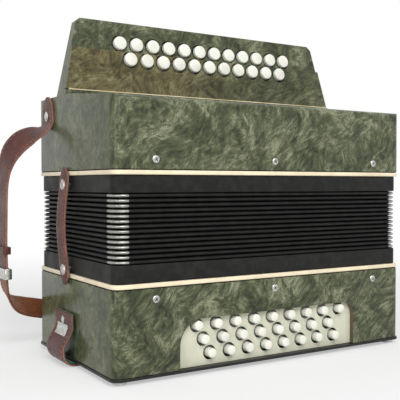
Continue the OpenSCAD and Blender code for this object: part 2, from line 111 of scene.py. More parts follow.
bass_solids = solids("bass_case")
treble_solids = solids("treble_case")
board_solids = solids("fingerboard")
cover_solids = solids("bass_end_cover")
hand_solids = solids("bass_hand_strap")
bass_shell, bass_frame, bass_trim = bass_solids[:3]
treble_shell, treble_frame, treble_trim = treble_solids[:3]
board_shell, board_plate, board_axle, board_strip = board_solids
folds = solids("bellows_folds")[0]

BODY_W = bass_shell.hi.x - bass_shell.lo.x
BODY_D = bass_shell.hi.y - bass_shell.lo.y
CORNER_R = 8
WALL = 5
LID_T = 4
LID_R = 5
FOLD_COUNT = 14
FOLD_PITCH = (folds.hi.z - folds.lo.z) / FOLD_COUNT
FOLD_W = folds.hi.x - folds.lo.x
FOLD_D = folds.hi.y - folds.lo.y
FOLD_CORNER_R = 11
LID_LEVEL_D = 74
LID_RISE = 10
BOARD_LEAN = math.radians(8)
BUTTON_H = 5
TREBLE_UPPER = 12
TREBLE_PITCH = 17.8
PASSAGE_SIDE = 10
HAND_LEATHER_T = 1.5
HAND_FELT_T = 1.1
SHOULDER_T = 2.3
SHOULDER_LOWER_T = 2.1
BELLOWS_STRAP_T = 2.0
LOOP_RIM = 1.9
BUTTON_AXIS = Vector((0, -math.cos(BOARD_LEAN), math.sin(BOARD_LEAN)))
STRAP_Y = middle(solids("bellows_strap")[0]).y
TREBLE_KEYS = sorted(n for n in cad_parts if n.startswith("treble_key_"))
BASS_BUTTONS = sorted(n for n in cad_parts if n.startswith("bass_button_") and n[-1].isdigit())

# ------------------------------------------------------------------ settings


def colour_property(name, description, default):
    return FloatVectorProperty(
        name=name, description=description, subtype="COLOR", size=3, min=0, max=1, default=default
    )


class CelluloidSettings(bpy.types.PropertyGroup):
    """Colours and pattern of the marbled celluloid"""

    dark: colour_property("Dark", "Deep green-grey of the swirl", (0.020, 0.027, 0.015))
    middle: colour_property("Middle", "Main colour of the swirl", (0.080, 0.090, 0.046))
    light: colour_property("Light", "Pearly streaks", (0.33, 0.35, 0.23))
    brown: colour_property("Brown", "Olive brown of the lower board plate", (0.120, 0.100, 0.042))
    grain: FloatProperty(
        name="Grain", description="Swirls in one metre across the streaks", default=260, min=50, max=600
    )
    stretch: FloatProperty(
        name="Stretch", description="Length of a streak for its width", default=2.6, min=1, max=12
    )


class BellowsSettings(bpy.types.PropertyGroup):
    """Shape and colours of the bellows"""

    cloth: colour_property("Cloth", "Bookcloth on the folds and frames", (0.0085, 0.0085, 0.008))
    ridge: FloatProperty(
        name="Ridge", description="Flat height of a fold's ridge", default=0.0011, unit="LENGTH", min=0.0004, max=0.002
    )
    groove: FloatProperty(
        name="Groove", description="Depth of the groove between two folds", default=0.005, unit="LENGTH", min=0.002,
        max=0.008
    )
    protector: FloatProperty(
        name="Protector", description="Thickness of a metal corner protector", default=0.0004, unit="LENGTH",
        min=0.0002, max=0.001
    )


class ButtonSettings(bpy.types.PropertyGroup):
    """Shape and colour of the buttons"""

    white: colour_property("Button", "Milk-white button plastic", (0.78, 0.78, 0.70))
    edge: FloatProperty(
        name="Edge", description="Radius of a button's rim", default=0.0014, unit="LENGTH", min=0.0002, max=0.003
    )
    dome: FloatProperty(
        name="Dome", description="Rise of a button's middle", default=0.0005, unit="LENGTH", min=0, max=0.002
    )


class StrapSettings(bpy.types.PropertyGroup):
    """Leather and stitching of the straps"""

    leather: colour_property("Leather", "Waxed red-brown leather", (0.105, 0.028, 0.020))
    tan: colour_property("Tan", "Lighter leather of the lower shoulder strap", (0.30, 0.105, 0.045))
    felt: colour_property("Felt", "Lining of the hand strap", (0.008, 0.085, 0.045))
    stitch: FloatProperty(
        name="Stitch", description="Length of a stitch with its gap", default=0.0042, unit="LENGTH", min=0.002, max=0.01
    )
    bow: FloatProperty(
        name="Bow", description="How far the bellows strap stands off at its middle", default=0.0035, unit="LENGTH",
        min=0, max=0.006
    )


class StageSettings(bpy.types.PropertyGroup):
    """Floor, lamps and camera"""

    floor: colour_property("Floor", "Pale studio floor", (0.86, 0.86, 0.86))
    key: FloatProperty(name="Key lamp", description="Power of the large lamp", default=20, unit="POWER", min=0, max=200)
    rim: FloatProperty(name="Strip lamp", description="Power of the tall lamp", default=5, unit="POWER", min=0, max=200)
    ambient: FloatProperty(name="Ambient", description="Level of the surrounding light", default=0.55, min=0, max=2)
    lens: FloatProperty(name="Lens", description="Focal length in millimetres", default=64.55, min=10, max=200)


SETTINGS = {
    "celluloid": CelluloidSettings,
    "bellows": BellowsSettings,
    "buttons": ButtonSettings,
    "straps": StrapSettings,
    "stage": StageSettings,
}


class AccordionSettings(bpy.types.PropertyGroup):
    """All settings of the accordion"""

    celluloid: PointerProperty(type=CelluloidSettings)
    bellows: PointerProperty(type=BellowsSettings)
    buttons: PointerProperty(type=ButtonSettings)
    straps: PointerProperty(type=StrapSettings)
    stage: PointerProperty(type=StageSettings)


def settings():
    return bpy.context.scene.accordion


# ------------------------------------------------------------------ shader groups


def add_node(tree, kind, inputs=None, **options):
    """Adds a shader node; an input that is given a socket is linked to it."""
    made = tree.nodes.new(kind)
    for key, value in options.items():
        setattr(made, key, value)
    for key, value in (inputs or {}).items():
        if isinstance(value, bpy.types.NodeSocket):
            tree.links.new(value, made.inputs[key])
        else:
            made.inputs[key].default_value = value
    return made


def rgba(colour):
    return (*colour[:3], 1)


def new_group(name, inputs, outputs):
    tree = bpy.data.node_groups.new(name, "ShaderNodeTree")
    for socket, kind, default in inputs:
        made = tree.interface.new_socket(socket, in_out="INPUT", socket_type=kind)
        made.default_value = default
    for socket, kind in outputs:
        tree.interface.new_socket(socket, in_out="OUTPUT", socket_type=kind)
    return tree, tree.nodes.new("NodeGroupInput"), tree.nodes.new("NodeGroupOutput")


def mix_colour(tree, factor, a, b, blend="MIX"):
    made = add_node(tree, "ShaderNodeMix", {0: factor, 6: a, 7: b}, data_type="RGBA", blend_type=blend)
    return made.outputs[2]


def ramp_between(tree, value, low, high):
    """0 at low and 1 at high, smooth in between."""
    made = add_node(
        tree, "ShaderNodeMapRange", {"Value": value, "From Min": low, "From Max": high}, interpolation_type="SMOOTHSTEP"
    )
    return made.outputs["Result"]


def calculate(tree, operation, a, b=0.0):
    return add_node(tree, "ShaderNodeMath", {0: a, 1: b}, operation=operation).outputs[0]


def noise_field(tree, vector, scale, detail=2, roughness=0.5, distortion=0.0):
    return add_node(
        tree,
        "ShaderNodeTexNoise",
        {"Vector": vector, "Scale": scale, "Detail": detail, "Roughness": roughness, "Distortion": distortion},
    )


def marbled_group(name):
    """Pearly swirls of celluloid: streaks that follow a slowly turning direction."""
    colour, number = "NodeSocketColor", "NodeSocketFloat"
    tree, given, out = new_group(
        name,
        [
            ("Dark", colour, (0.02, 0.03, 0.02, 1)),
            ("Middle", colour, (0.1, 0.1, 0.06, 1)),
            ("Light", colour, (0.4, 0.4, 0.3, 1)),
            ("Grain", number, 200),
            ("Stretch", number, 3),
            ("Contrast", number, 1),
        ],
        [("Color", colour), ("Pearl", number)],
    )
    place = tree.nodes.new("ShaderNodeTexCoord").outputs["Object"]
    turn = noise_field(tree, place, 22, detail=1)
    centred = add_node(
        tree, "ShaderNodeVectorMath", {0: turn.outputs["Color"], 1: (0.5, 0.5, 0.5)}, operation="SUBTRACT"
    )
    pushed = add_node(
        tree, "ShaderNodeVectorMath", {0: centred.outputs[0], 1: (0.04, 0.04, 0.04), 2: place}, operation="MULTIPLY_ADD"
    )
    leaned = add_node(
        tree, "ShaderNodeMapping", {"Vector": pushed.outputs[0], "Rotation": (0, math.radians(-48), 0)}
    )
    squeeze = calculate(tree, "DIVIDE", 1.0, given.outputs["Stretch"])
    thin = add_node(tree, "ShaderNodeCombineXYZ", {"X": 1.0, "Y": 1.0, "Z": squeeze})
    streaks = add_node(tree, "ShaderNodeMapping", {"Vector": leaned.outputs[0], "Scale": thin.outputs[0]})
    swirl = noise_field(tree, streaks.outputs[0], given.outputs["Grain"], 9, 0.74, 0.25).outputs["Fac"]
    vein = noise_field(
        tree, streaks.outputs[0], calculate(tree, "MULTIPLY", given.outputs["Grain"], 0.72), 4, 0.55, 0.8
    ).outputs["Fac"]
    cloud = noise_field(tree, pushed.outputs[0], 42, 3, 0.6, 0.6).outputs["Fac"]
    level = calculate(tree, "ADD", swirl, calculate(tree, "MULTIPLY", calculate(tree, "SUBTRACT", cloud, 0.5), 0.6))
    ridge = calculate(tree, "ABSOLUTE", calculate(tree, "SUBTRACT", vein, 0.5))
    thread = calculate(tree, "SUBTRACT", 1.0, ramp_between(tree, ridge, 0.0, 0.035))
    thread = calculate(tree, "MULTIPLY", thread, ramp_between(tree, cloud, 0.42, 0.66))
    deep = mix_colour(tree, ramp_between(tree, level, 0.30, 0.58), given.outputs["Dark"], given.outputs["Middle"])
    bright = calculate(tree, "MULTIPLY", ramp_between(tree, level, 0.50, 0.74), 0.56)
    bright = calculate(tree, "MULTIPLY", bright, given.outputs["Contrast"])
    pale = mix_colour(tree, bright, deep, given.outputs["Light"])
    pearl = calculate(tree, "MULTIPLY", calculate(tree, "MULTIPLY", thread, 0.55), given.outputs["Contrast"])
    tree.links.new(mix_colour(tree, pearl, pale, given.outputs["Light"]), out.inputs["Color"])
    tree.links.new(pearl, out.inputs["Pearl"])
    return tree


def handling_group(name):
    """Roughness that varies with handling, and fine marks for a bump."""
    number = "NodeSocketFloat"
    tree, given, out = new_group(
        name,
        [("Low", number, 0.15), ("High", number, 0.35), ("Scale", number, 30)],
        [("Roughness", number), ("Marks", number)],
    )
    place = tree.nodes.new("ShaderNodeTexCoord").outputs["Object"]
    haze = noise_field(tree, place, given.outputs["Scale"], 4, 0.6, 0.3).outputs["Fac"]
    ends = {"To Min": given.outputs["Low"], "To Max": given.outputs["High"]}
    spread = add_node(tree, "ShaderNodeMapRange", {"Value": haze, "From Min": 0.3, "From Max": 0.7, **ends})
    tree.links.new(spread.outputs["Result"], out.inputs["Roughness"])
    tree.links.new(noise_field(tree, place, 700, 3, 0.7).outputs["Fac"], out.inputs["Marks"])
    return tree


def leather_group(name):
    """Pebbled leather: colour with painted shade in its creases, and the height of its grain."""
    colour, number = "NodeSocketColor", "NodeSocketFloat"
    tree, given, out = new_group(
        name,
        [("Base", colour, (0.1, 0.03, 0.02, 1)), ("Scale", number, 900)],
        [("Color", colour), ("Height", number)],
    )
    place = tree.nodes.new("ShaderNodeTexCoord").outputs["Object"]
    pebble = add_node(
        tree,
        "ShaderNodeTexVoronoi",
        {"Vector": place, "Scale": given.outputs["Scale"]},
        feature="DISTANCE_TO_EDGE",
    ).outputs["Distance"]
    crease = ramp_between(tree, pebble, 0.0, 0.22)
    tone = noise_field(tree, place, 60, 4, 0.65).outputs["Fac"]
    dark = mix_colour(tree, 1.0, given.outputs["Base"], (0.45, 0.42, 0.40, 1), "MULTIPLY")
    light = mix_colour(tree, 1.0, given.outputs["Base"], (1.35, 1.3, 1.25, 1), "MULTIPLY")
    worn = mix_colour(tree, ramp_between(tree, tone, 0.3, 0.75), dark, light)
    # Painted shade: the creases between the pebbles take the darkened base colour
    tree.links.new(mix_colour(tree, crease, dark, worn), out.inputs["Color"])
    tree.links.new(crease, out.inputs["Height"])
    return tree


def weave_group(name):
    """Over-and-under threads of a fine cloth."""
    number = "NodeSocketFloat"
    tree, given, out = new_group(name, [("Threads", number, 1500)], [("Height", number), ("Shade", number)])
    place = tree.nodes.new("ShaderNodeTexCoord").outputs["Object"]
    apart = add_node(tree, "ShaderNodeSeparateXYZ", {0: place})
    flat = calculate(tree, "ADD", apart.outputs["X"], apart.outputs["Y"])
    waves = [
        calculate(tree, "SINE", calculate(tree, "MULTIPLY", along, given.outputs["Threads"]))
        for along in (flat, apart.outputs["Z"])
    ]
    tree.links.new(calculate(tree, "MULTIPLY", waves[0], waves[1]), out.inputs["Height"])
    tree.links.new(noise_field(tree, place, 160, 3, 0.6).outputs["Fac"], out.inputs["Shade"])
    return tree


def grain_group(name):
    """Long lines of planed wood or brushed metal, along X."""
    colour, number = "NodeSocketColor", "NodeSocketFloat"
    tree, given, out = new_group(
        name,
        [("Light", colour, (0.6, 0.45, 0.3, 1)), ("Dark", colour, (0.4, 0.27, 0.15, 1)), ("Scale", number, 300)],
        [("Color", colour), ("Height", number)],
    )
    place = tree.nodes.new("ShaderNodeTexCoord").outputs["Object"]
    drawn = add_node(tree, "ShaderNodeMapping", {"Vector": place, "Scale": (0.06, 1, 1)})
    lines = noise_field(tree, drawn.outputs[0], given.outputs["Scale"], 5, 0.6, 0.4).outputs["Fac"]
    mixed = mix_colour(tree, ramp_between(tree, lines, 0.35, 0.65), given.outputs["Dark"], given.outputs["Light"])
    tree.links.new(mixed, out.inputs["Color"])
    tree.links.new(lines, out.inputs["Height"])
    return tree


GROUPS = {
    "marbled": ("Marbled swirl", marbled_group),
    "handling": ("Handling wear", handling_group),
    "leather": ("Leather grain", leather_group),
    "weave": ("Cloth weave", weave_group),
    "grain": ("Long grain", grain_group),
}


def group_node(tree, kind, inputs):
    name, build = GROUPS[kind]
    shared = bpy.data.node_groups.get(name) or build(name)
    made = tree.nodes.new("ShaderNodeGroup")
    made.node_tree = shared
    for key, value in inputs.items():
        made.inputs[key].default_value = value
    return made


# ------------------------------------------------------------------ materials


def new_material(name, **shader):
    """A material with a Principled shader whose constants are set on its own sockets."""
    made = bpy.data.materials.new(name)
    made.use_nodes = True
    tree = made.node_tree
    principled = tree.nodes["Principled BSDF"]
    for key, value in shader.items():
        principled.inputs[key.replace("_", " ")].default_value = value
    return made, tree, principled


def add_bump(tree, principled, height, distance, strength=1.0):
    bump = add_node(tree, "ShaderNodeBump", {"Height": height, "Distance": distance, "Strength": strength})
    tree.links.new(bump.outputs["Normal"], principled.inputs["Normal"])


def add_handling(tree, principled, low, high, scale=30):
    worn = group_node(tree, "handling", {"Low": low, "High": high, "Scale": scale})
    tree.links.new(worn.outputs["Roughness"], principled.inputs["Roughness"])
    return worn.outputs["Marks"]


def celluloid(name, dark, middle_tone, light, contrast=1.0):
    s = settings().celluloid
    made, tree, principled = new_material(name, Specular_IOR_Level=0.24, Coat_Roughness=0.08)
    swirl = group_node(
        tree,
        "marbled",
        {"Dark": rgba(dark), "Middle": rgba(middle_tone), "Light": rgba(light), "Grain": s.grain,
         "Stretch": s.stretch, "Contrast": contrast},
    )
    tree.links.new(swirl.outputs["Color"], principled.inputs["Base Color"])
    marks = add_handling(tree, principled, 0.16, 0.30, 24)
    add_bump(tree, principled, marks, 0.00002)
    return made


def green_celluloid():
    s = settings().celluloid
    return celluloid("green marbled celluloid", s.dark, s.middle, s.light)


def side_celluloid():
    # Painted light: a lighter, lower-contrast copy of the green celluloid for the end faces, standing in for the light
    # on them
    s = settings().celluloid
    return celluloid("painted light celluloid", [c * 1.9 for c in s.dark], [c * 1.12 for c in s.middle], s.light, 0.45)


def brown_celluloid():
    s = settings().celluloid
    made = celluloid("brown marbled celluloid", (0.030, 0.028, 0.012), s.brown, (0.36, 0.35, 0.20), 0.7)
    tree = made.node_tree
    swirl = next(node for node in tree.nodes if "Middle" in node.inputs)
    place = tree.nodes.new("ShaderNodeTexCoord").outputs["Object"]
    across = add_node(tree, "ShaderNodeSeparateXYZ", {"Vector": place}).outputs["X"]
    faded = mix_colour(tree, ramp_between(tree, across, -0.09, 0.08), rgba(s.brown), rgba(s.middle))
    tree.links.new(faded, swirl.inputs["Middle"])
    return made


def plain_gloss(name, colour, low, high, **shader):
    """A moulded or lacquered finish with faint tone changes and handling marks."""
    made, tree, principled = new_material(name, **shader)
    place = tree.nodes.new("ShaderNodeTexCoord").outputs["Object"]
    tone = noise_field(tree, place, 55, 4, 0.6).outputs["Fac"]
    darker = rgba([c * 0.90 for c in colour])
    lighter = rgba([min(1, c * 1.06) for c in colour])
    tree.links.new(
        mix_colour(tree, ramp_between(tree, tone, 0.3, 0.7), darker, lighter), principled.inputs["Base Color"]
    )
    add_bump(tree, principled, add_handling(tree, principled, low, high), 0.00002)
    return made


def button_white():
    return plain_gloss(
        "milk-white button", settings().buttons.white, 0.12, 0.25, Subsurface_Weight=0.15, Subsurface_Scale=0.002
    )


def black_cloth(name, tone=1.0):
    made, tree, principled = new_material(name, Specular_IOR_Level=0.16)
    weave = group_node(tree, "weave", {"Threads": 5200})
    base = [c * tone for c in settings().bellows.cloth]
    worn = mix_colour(
        tree, ramp_between(tree, weave.outputs["Shade"], 0.35, 0.75), rgba(base), rgba([c * 1.9 for c in base])
    )
    tree.links.new(worn, principled.inputs["Base Color"])
    add_handling(tree, principled, 0.38, 0.60, 60)
    add_bump(tree, principled, weave.outputs["Height"], 0.00003, 0.6)
    return made


def metal(name, light, dark, low, high, scale=500):
    made, tree, principled = new_material(name, Metallic=1.0)
    brushed = group_node(tree, "grain", {"Light": rgba(light), "Dark": rgba(dark), "Scale": scale})
    tree.links.new(brushed.outputs["Color"], principled.inputs["Base Color"])
    add_handling(tree, principled, low, high, 90)
    add_bump(tree, principled, brushed.outputs["Height"], 0.00001, 0.5)
    return made


def wood(name, light, dark):
    made, tree, principled = new_material(name)
    grain = group_node(tree, "grain", {"Light": rgba(light), "Dark": rgba(dark), "Scale": 420})
    tree.links.new(grain.outputs["Color"], principled.inputs["Base Color"])
    add_handling(tree, principled, 0.5, 0.7)
    add_bump(tree, principled, grain.outputs["Height"], 0.00008)
    return made


def leather(name, base, scale=950):
    made, tree, principled = new_material(name, Specular_IOR_Level=0.4)
    hide = group_node(tree, "leather", {"Base": rgba(base), "Scale": scale})
    tree.links.new(hide.outputs["Color"], principled.inputs["Base Color"])
    add_handling(tree, principled, 0.36, 0.55, 80)
    add_bump(tree, principled, hide.outputs["Height"], 0.00006)
    return made


def thread():
    made, tree, principled = new_material("waxed thread", Specular_IOR_Level=0.3)
    weave = group_node(tree, "weave", {"Threads": 9000})
    strands = mix_colour(tree, weave.outputs["Shade"], (0.20, 0.10, 0.075, 1), (0.42, 0.26, 0.19, 1))
    tree.links.new(strands, principled.inputs["Base Color"])
    add_handling(tree, principled, 0.5, 0.65)
    return made


def green_felt():
    made, tree, principled = new_material("green felt", Sheen_Weight=0.35, Sheen_Roughness=0.5, Specular_IOR_Level=0.1)
    place = tree.nodes.new("ShaderNodeTexCoord").outputs["Object"]
    fibres = noise_field(tree, place, 1900, 5, 0.75, 1.2).outputs["Fac"]
    base = settings().straps.felt
    tree.links.new(
        mix_colour(tree, fibres, rgba([c * 0.6 for c in base]), rgba([c * 1.5 for c in base])),
        principled.inputs["Base Color"],
    )
    add_handling(tree, principled, 0.8, 0.95)
    add_bump(tree, principled, fibres, 0.0002)
    return made


# Material, and the record's slot that it belongs to
FINISHES = {
    "celluloid": (green_celluloid, "celluloid"),
    # Painted light: the lighter, lower-contrast copy of the celluloid for the end faces
    "side_celluloid": (side_celluloid, "celluloid"),
    "brown_celluloid": (brown_celluloid, "celluloid_brown"),
    "cream_trim": (lambda: plain_gloss("cream trim", (0.80, 0.70, 0.50), 0.25, 0.45), "cream_panel"),
    "cream_panel": (lambda: plain_gloss("cream panel", (0.60, 0.60, 0.47), 0.30, 0.45), "cream_panel"),
    "recess": (lambda: plain_gloss("recess edge", (0.10, 0.075, 0.035), 0.3, 0.5), "celluloid_brown"),
    "black_plate": (
        lambda: plain_gloss("black lacquer", (0.012, 0.012, 0.012), 0.3, 0.45, Specular_IOR_Level=0.3),
        "black_plate",
    ),
    # Near-black painted shade, for the gap beside the trim and the screws' cross recesses
    "seam": (
        lambda: plain_gloss("near-black painted shade", (0.006, 0.005, 0.004), 0.6, 0.8, Specular_IOR_Level=0.1),
        "black_plate",
    ),
    "button": (button_white, "button_white"),
    "foot": (
        lambda: plain_gloss("clear foot", (0.72, 0.74, 0.70), 0.25, 0.4, Subsurface_Weight=0.3, Subsurface_Scale=0.003),
        "button_white",
    ),
    "bellows_cloth": (lambda: black_cloth("black bellows cloth"), "bellows_cloth"),
    "frame_cloth": (lambda: black_cloth("black frame cloth", 1.15), "bellows_cloth"),
    "nickel": (lambda: metal("nickel plate", (0.62, 0.62, 0.60), (0.42, 0.42, 0.40), 0.16, 0.32), "steel"),
    "protector": (
        lambda: metal("corner protector", (0.46, 0.46, 0.43), (0.24, 0.24, 0.22), 0.24, 0.40, 900),
        "steel",
    ),
    "gilt": (lambda: metal("gilt strip", (0.90, 0.80, 0.55), (0.65, 0.52, 0.30), 0.15, 0.3), "steel"),
    "lever": (lambda: metal("lever steel", (0.58, 0.59, 0.60), (0.40, 0.41, 0.42), 0.3, 0.45), "steel"),
    "reed": (lambda: metal("reed plate", (0.66, 0.66, 0.64), (0.48, 0.48, 0.46), 0.3, 0.5), "steel"),
    "spruce": (lambda: wood("planed spruce", (0.62, 0.44, 0.25), (0.45, 0.29, 0.14)), "wood"),
    "pallet": (lambda: wood("pallet wood", (0.46, 0.29, 0.15), (0.32, 0.18, 0.08)), "wood"),
    "leather": (lambda: leather("red-brown leather", settings().straps.leather), "leather"),
    "tan": (lambda: leather("tan leather", settings().straps.tan, 800), "leather"),
    "leather_edge": (lambda: leather("cut leather edge", (0.36, 0.17, 0.12), 1400), "leather"),
    "thread": (thread, "leather"),
    "felt": (green_felt, "bellows_cloth"),
}
made_finishes = {}


def finish_of(name):
    """The material of that finish, built once."""
    if name not in made_finishes:
        made_finishes[name] = FINISHES[name][0]()
    return made_finishes[name]


# ------------------------------------------------------------------ mesh helpers


def add_piece(name, points, faces, finishes, body=None, bevel=None, smooth=35, face_finish=None):
    """A mesh piece from points in millimetres; with several finishes, face_finish chooses one for a face."""
    names = [finishes] if isinstance(finishes, str) else list(finishes)
    mesh = bpy.data.meshes.new(name)
    mesh.from_pydata([Vector(p) * MM for p in points], [], faces)
    shape = bmesh.new()
    shape.from_mesh(mesh)
    bmesh.ops.recalc_face_normals(shape, faces=shape.faces)
    shape.to_mesh(mesh)
    shape.free()
    made = bpy.data.objects.new(name, mesh)
    bpy.context.scene.collection.objects.link(made)
    for n in names:
        mesh.materials.append(finish_of(n))
    if face_finish:
        for polygon in mesh.polygons:
            polygon.material_index = face_finish(polygon.center / MM, polygon.normal)
    finish_shape(made, bevel, smooth)
    if body:
        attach(made, body)
    return made


def finish_shape(made, bevel=None, smooth=35):
    """Smooth shading up to an angle, and a small round on the sharp edges."""
    made.data.shade_smooth()
    made.data.set_sharp_from_angle(angle=math.radians(smooth))
    if bevel:
        edge = made.modifiers.new("Edge round", "BEVEL")
        edge.width = bevel * MM
        edge.segments = 2
        edge.limit_method = "ANGLE"
        edge.angle_limit = math.radians(38)
        edge.harden_normals = True
        edge.use_clamp_overlap = True


def cad_piece(name, parts, finishes, body, bevel=None, smooth=35, face_finish=None):
    """A piece with the exact shape of some of the frame's solids, with its flat faces cleaned."""
    points, faces = [], []
    for part in parts:
        faces += [[c + len(points) for c in face] for face in part.faces]
        points += part.points
    made = add_piece(name, points, faces, finishes, None, None, smooth)
    shape = bmesh.new()
    shape.from_mesh(made.data)
    bmesh.ops.dissolve_limit(shape, angle_limit=math.radians(0.4), verts=shape.verts, edges=shape.edges)
    shape.to_mesh(made.data)
    shape.free()
    if face_finish:
        for polygon in made.data.polygons:
            polygon.material_index = face_finish(polygon.center / MM, polygon.normal)
    finish_shape(made, bevel, smooth)
    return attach(made, body)


def carve(piece, points, faces, operation="DIFFERENCE", finish=None):
    """Cuts a closed shape out of a piece, or keeps only what both hold."""
    cutter = add_piece("cutter", points, faces, finish or "seam")
    change = piece.modifiers.new("cut", "BOOLEAN")
    change.object, change.operation, change.solver = cutter, operation, "EXACT"
    if finish:
        change.material_mode = "TRANSFER"
    result = bpy.data.meshes.new_from_object(piece.evaluated_get(bpy.context.evaluated_depsgraph_get()))
    piece.modifiers.clear()
    piece.data = result
    bpy.data.objects.remove(cutter)


def arc(centre, radius, start, end, steps):
    """Points on a circle round centre, from one angle in degrees to another."""
    turns = [math.radians(start + (end - start) * i / steps) for i in range(steps + 1)]
    return [(centre[0] + radius * math.cos(t), centre[1] + radius * math.sin(t)) for t in turns]


def rounded_loop(w, d, r, steps=8):
    """Counter-clockwise outline of a rectangle with round corners."""
    r = max(r, 0.4)
    x, y = w / 2 - r, d / 2 - r
    corners = [((x, y), 0), ((-x, y), 90), ((-x, -y), 180), ((x, -y), 270)]
    return [p for centre, start in corners for p in arc(centre, r, start, start + 90, steps)]


def ring_sweep(w, d, r, profile, steps=8):
    """Sweeps a closed profile of [outward offset, z] round a rounded rectangle."""
    points = []
    for offset, z in profile:
        points += [(x, y, z) for x, y in rounded_loop(w + 2 * offset, d + 2 * offset, r + offset, steps)]
    n = len(rounded_loop(w, d, r, steps))
    faces = []
    for k in range(len(profile)):
        a, b = k * n, (k + 1) % len(profile) * n
        faces += [[a + i, a + (i + 1) % n, b + (i + 1) % n, b + i] for i in range(n)]
    return points, faces


def closed_wall(inner, z0, z1, low=0.6, high=0.6, steps=4, outer=0.0):
    """Profile of an upright wall whose outer edges are rounded."""
    profile = [(inner, z0)]
    profile += [(x, z) for x, z in arc((outer - low, z0 + low), low, -90, 0, steps)]
    profile += [(x, z) for x, z in arc((outer - high, z1 - high), high, 0, 90, steps)]
    return profile + [(inner, z1)]


def extrude(outline, to_point, start, end):
    """A closed prism of a flat outline, between two depths."""
    n = len(outline)
    points = [to_point(a, b, start) for a, b in outline] + [to_point(a, b, end) for a, b in outline]
    faces = [list(range(n)), list(range(2 * n - 1, n - 1, -1))]
    faces += [[i, (i + 1) % n, n + (i + 1) % n, n + i] for i in range(n)]
    return points, faces


def across_x(a, b, depth):
    return (depth, a, b)


def along_y(a, b, depth):
    return (a, depth, b)


def upright(a, b, depth):
    return (a, b, depth)


def lathe(profile, origin, axis, steps=32):
    """Turns a profile of [radius, distance along the axis] round the axis; its ends close at radius 0."""
    axis = Vector(axis).normalized()
    side = axis.orthogonal().normalized()
    other = axis.cross(side)
    points, faces, rows = [], [], []
    for radius, along in profile:
        base = Vector(origin) + axis * along
        if radius < 1e-6:
            rows.append([len(points)] * steps)
            points.append(base)
            continue
        rows.append(list(range(len(points), len(points) + steps)))
        for i in range(steps):
            t = 2 * math.pi * i / steps
            points.append(base + (side * math.cos(t) + other * math.sin(t)) * radius)
    for a, b in zip(rows, rows[1:]):
        for i in range(steps):
            face = list(dict.fromkeys([a[i], a[(i + 1) % steps], b[(i + 1) % steps], b[i]]))
            if len(face) > 2:
                faces.append(face)
    return points, faces


def disc_profile(radius, back, front, edge, dome, steps=5):
    """Profile of a button: from its closed back to a domed face with a round rim."""
    rim = [(radius - edge + edge * math.sin(t), front - edge + edge * math.cos(t))
           for t in (math.pi / 2 * (1 - i / steps) for i in range(steps + 1))]
    face_r = radius - edge
    top = [(face_r * k, front + dome * (1 - k * k)) for k in (0.75, 0.5, 0.25, 0)]
    return [(0, back), (radius - 0.3, back), (radius, back + 0.3)] + rim + top


def smooth_path(stations, per_step=4):
    """Catmull-Rom curve through stations, each a flat list of numbers."""
    result = []
    last = len(stations) - 1
    for i in range(last):
        p0, p1 = stations[max(i - 1, 0)], stations[i]
        p2, p3 = stations[i + 1], stations[min(i + 2, last)]
        for k in range(per_step):
            t = k / per_step
            result.append([
                0.5 * (2 * b + (c - a) * t + (2 * a - 5 * b + 4 * c - d) * t * t + (3 * b - a - 3 * c + d) * t ** 3)
                for a, b, c, d in zip(p0, p1, p2, p3)
            ])
    return result + [list(stations[-1])]


def strip_frames(stations):
    """Place, along, across and outward directions, and width, at each station [x, y, z, width, across x, y, z]."""
    frames = []
    last = len(stations) - 1
    for i, s in enumerate(stations):
        ahead, behind = stations[min(i + 1, last)], stations[max(i - 1, 0)]
        along = (Vector(ahead[:3]) - Vector(behind[:3])).normalized()
        raw = Vector(s[4:7])
        across = (raw - raw.dot(along) * along).normalized()
        frames.append((Vector(s[:3]), along, across, along.cross(across), s[3]))
    return frames


def strip(stations, thickness, crown=0.25, columns=8):
    """A strap with round long edges and a slightly raised middle."""
    points, faces = [], []
    half_t = thickness / 2
    frames = strip_frames(stations)
    for place, _, across, outward, width in frames:
        flat = max(width / 2 - half_t, 0.2)
        section = []
        for i in range(columns + 1):
            u = flat * (1 - 2 * i / columns)
            section.append((u, half_t + crown * (1 - (u / flat) ** 2)))
        section += [(-flat - half_t * math.sin(t), half_t * math.cos(t)) for t in (math.pi * k / 4 for k in (1, 2, 3))]
        section += [(-flat * (1 - 2 * i / columns), -half_t) for i in range(columns + 1)]
        section += [(flat + half_t * math.sin(t), -half_t * math.cos(t)) for t in (math.pi * k / 4 for k in (1, 2, 3))]
        points += [place + across * u + outward * v for u, v in section]
    n = len(points) // len(frames)
    for k in range(len(frames) - 1):
        a, b = k * n, (k + 1) * n
        faces += [[a + i, a + (i + 1) % n, b + (i + 1) % n, b + i] for i in range(n)]
    faces += [list(range(n)), list(range(len(points) - 1, len(points) - n - 1, -1))]
    return points, faces


def stitches(stations, thickness, pitch, inset, lift=0.12):
    """Raised stitches along both edges of a strap, on both of its faces."""
    points, faces = [], []
    frames = strip_frames(stations)
    travelled, due = 0.0, pitch
    for here, there in zip(frames, frames[1:]):
        step = (there[0] - here[0]).length
        while travelled + step > due:
            share = (due - travelled) / step
            place = here[0].lerp(there[0], share)
            for side in (1, -1):
                edge = here[2] * (here[4] / 2 - inset) * side
                for face in (1, -1):
                    outward = here[3] * face
                    centre = place + edge + outward * (thickness / 2 + lift)
                    add_stitch(points, faces, centre, here[1], here[2], outward, pitch * 0.62)
            due += pitch
        travelled += step
    return points, faces


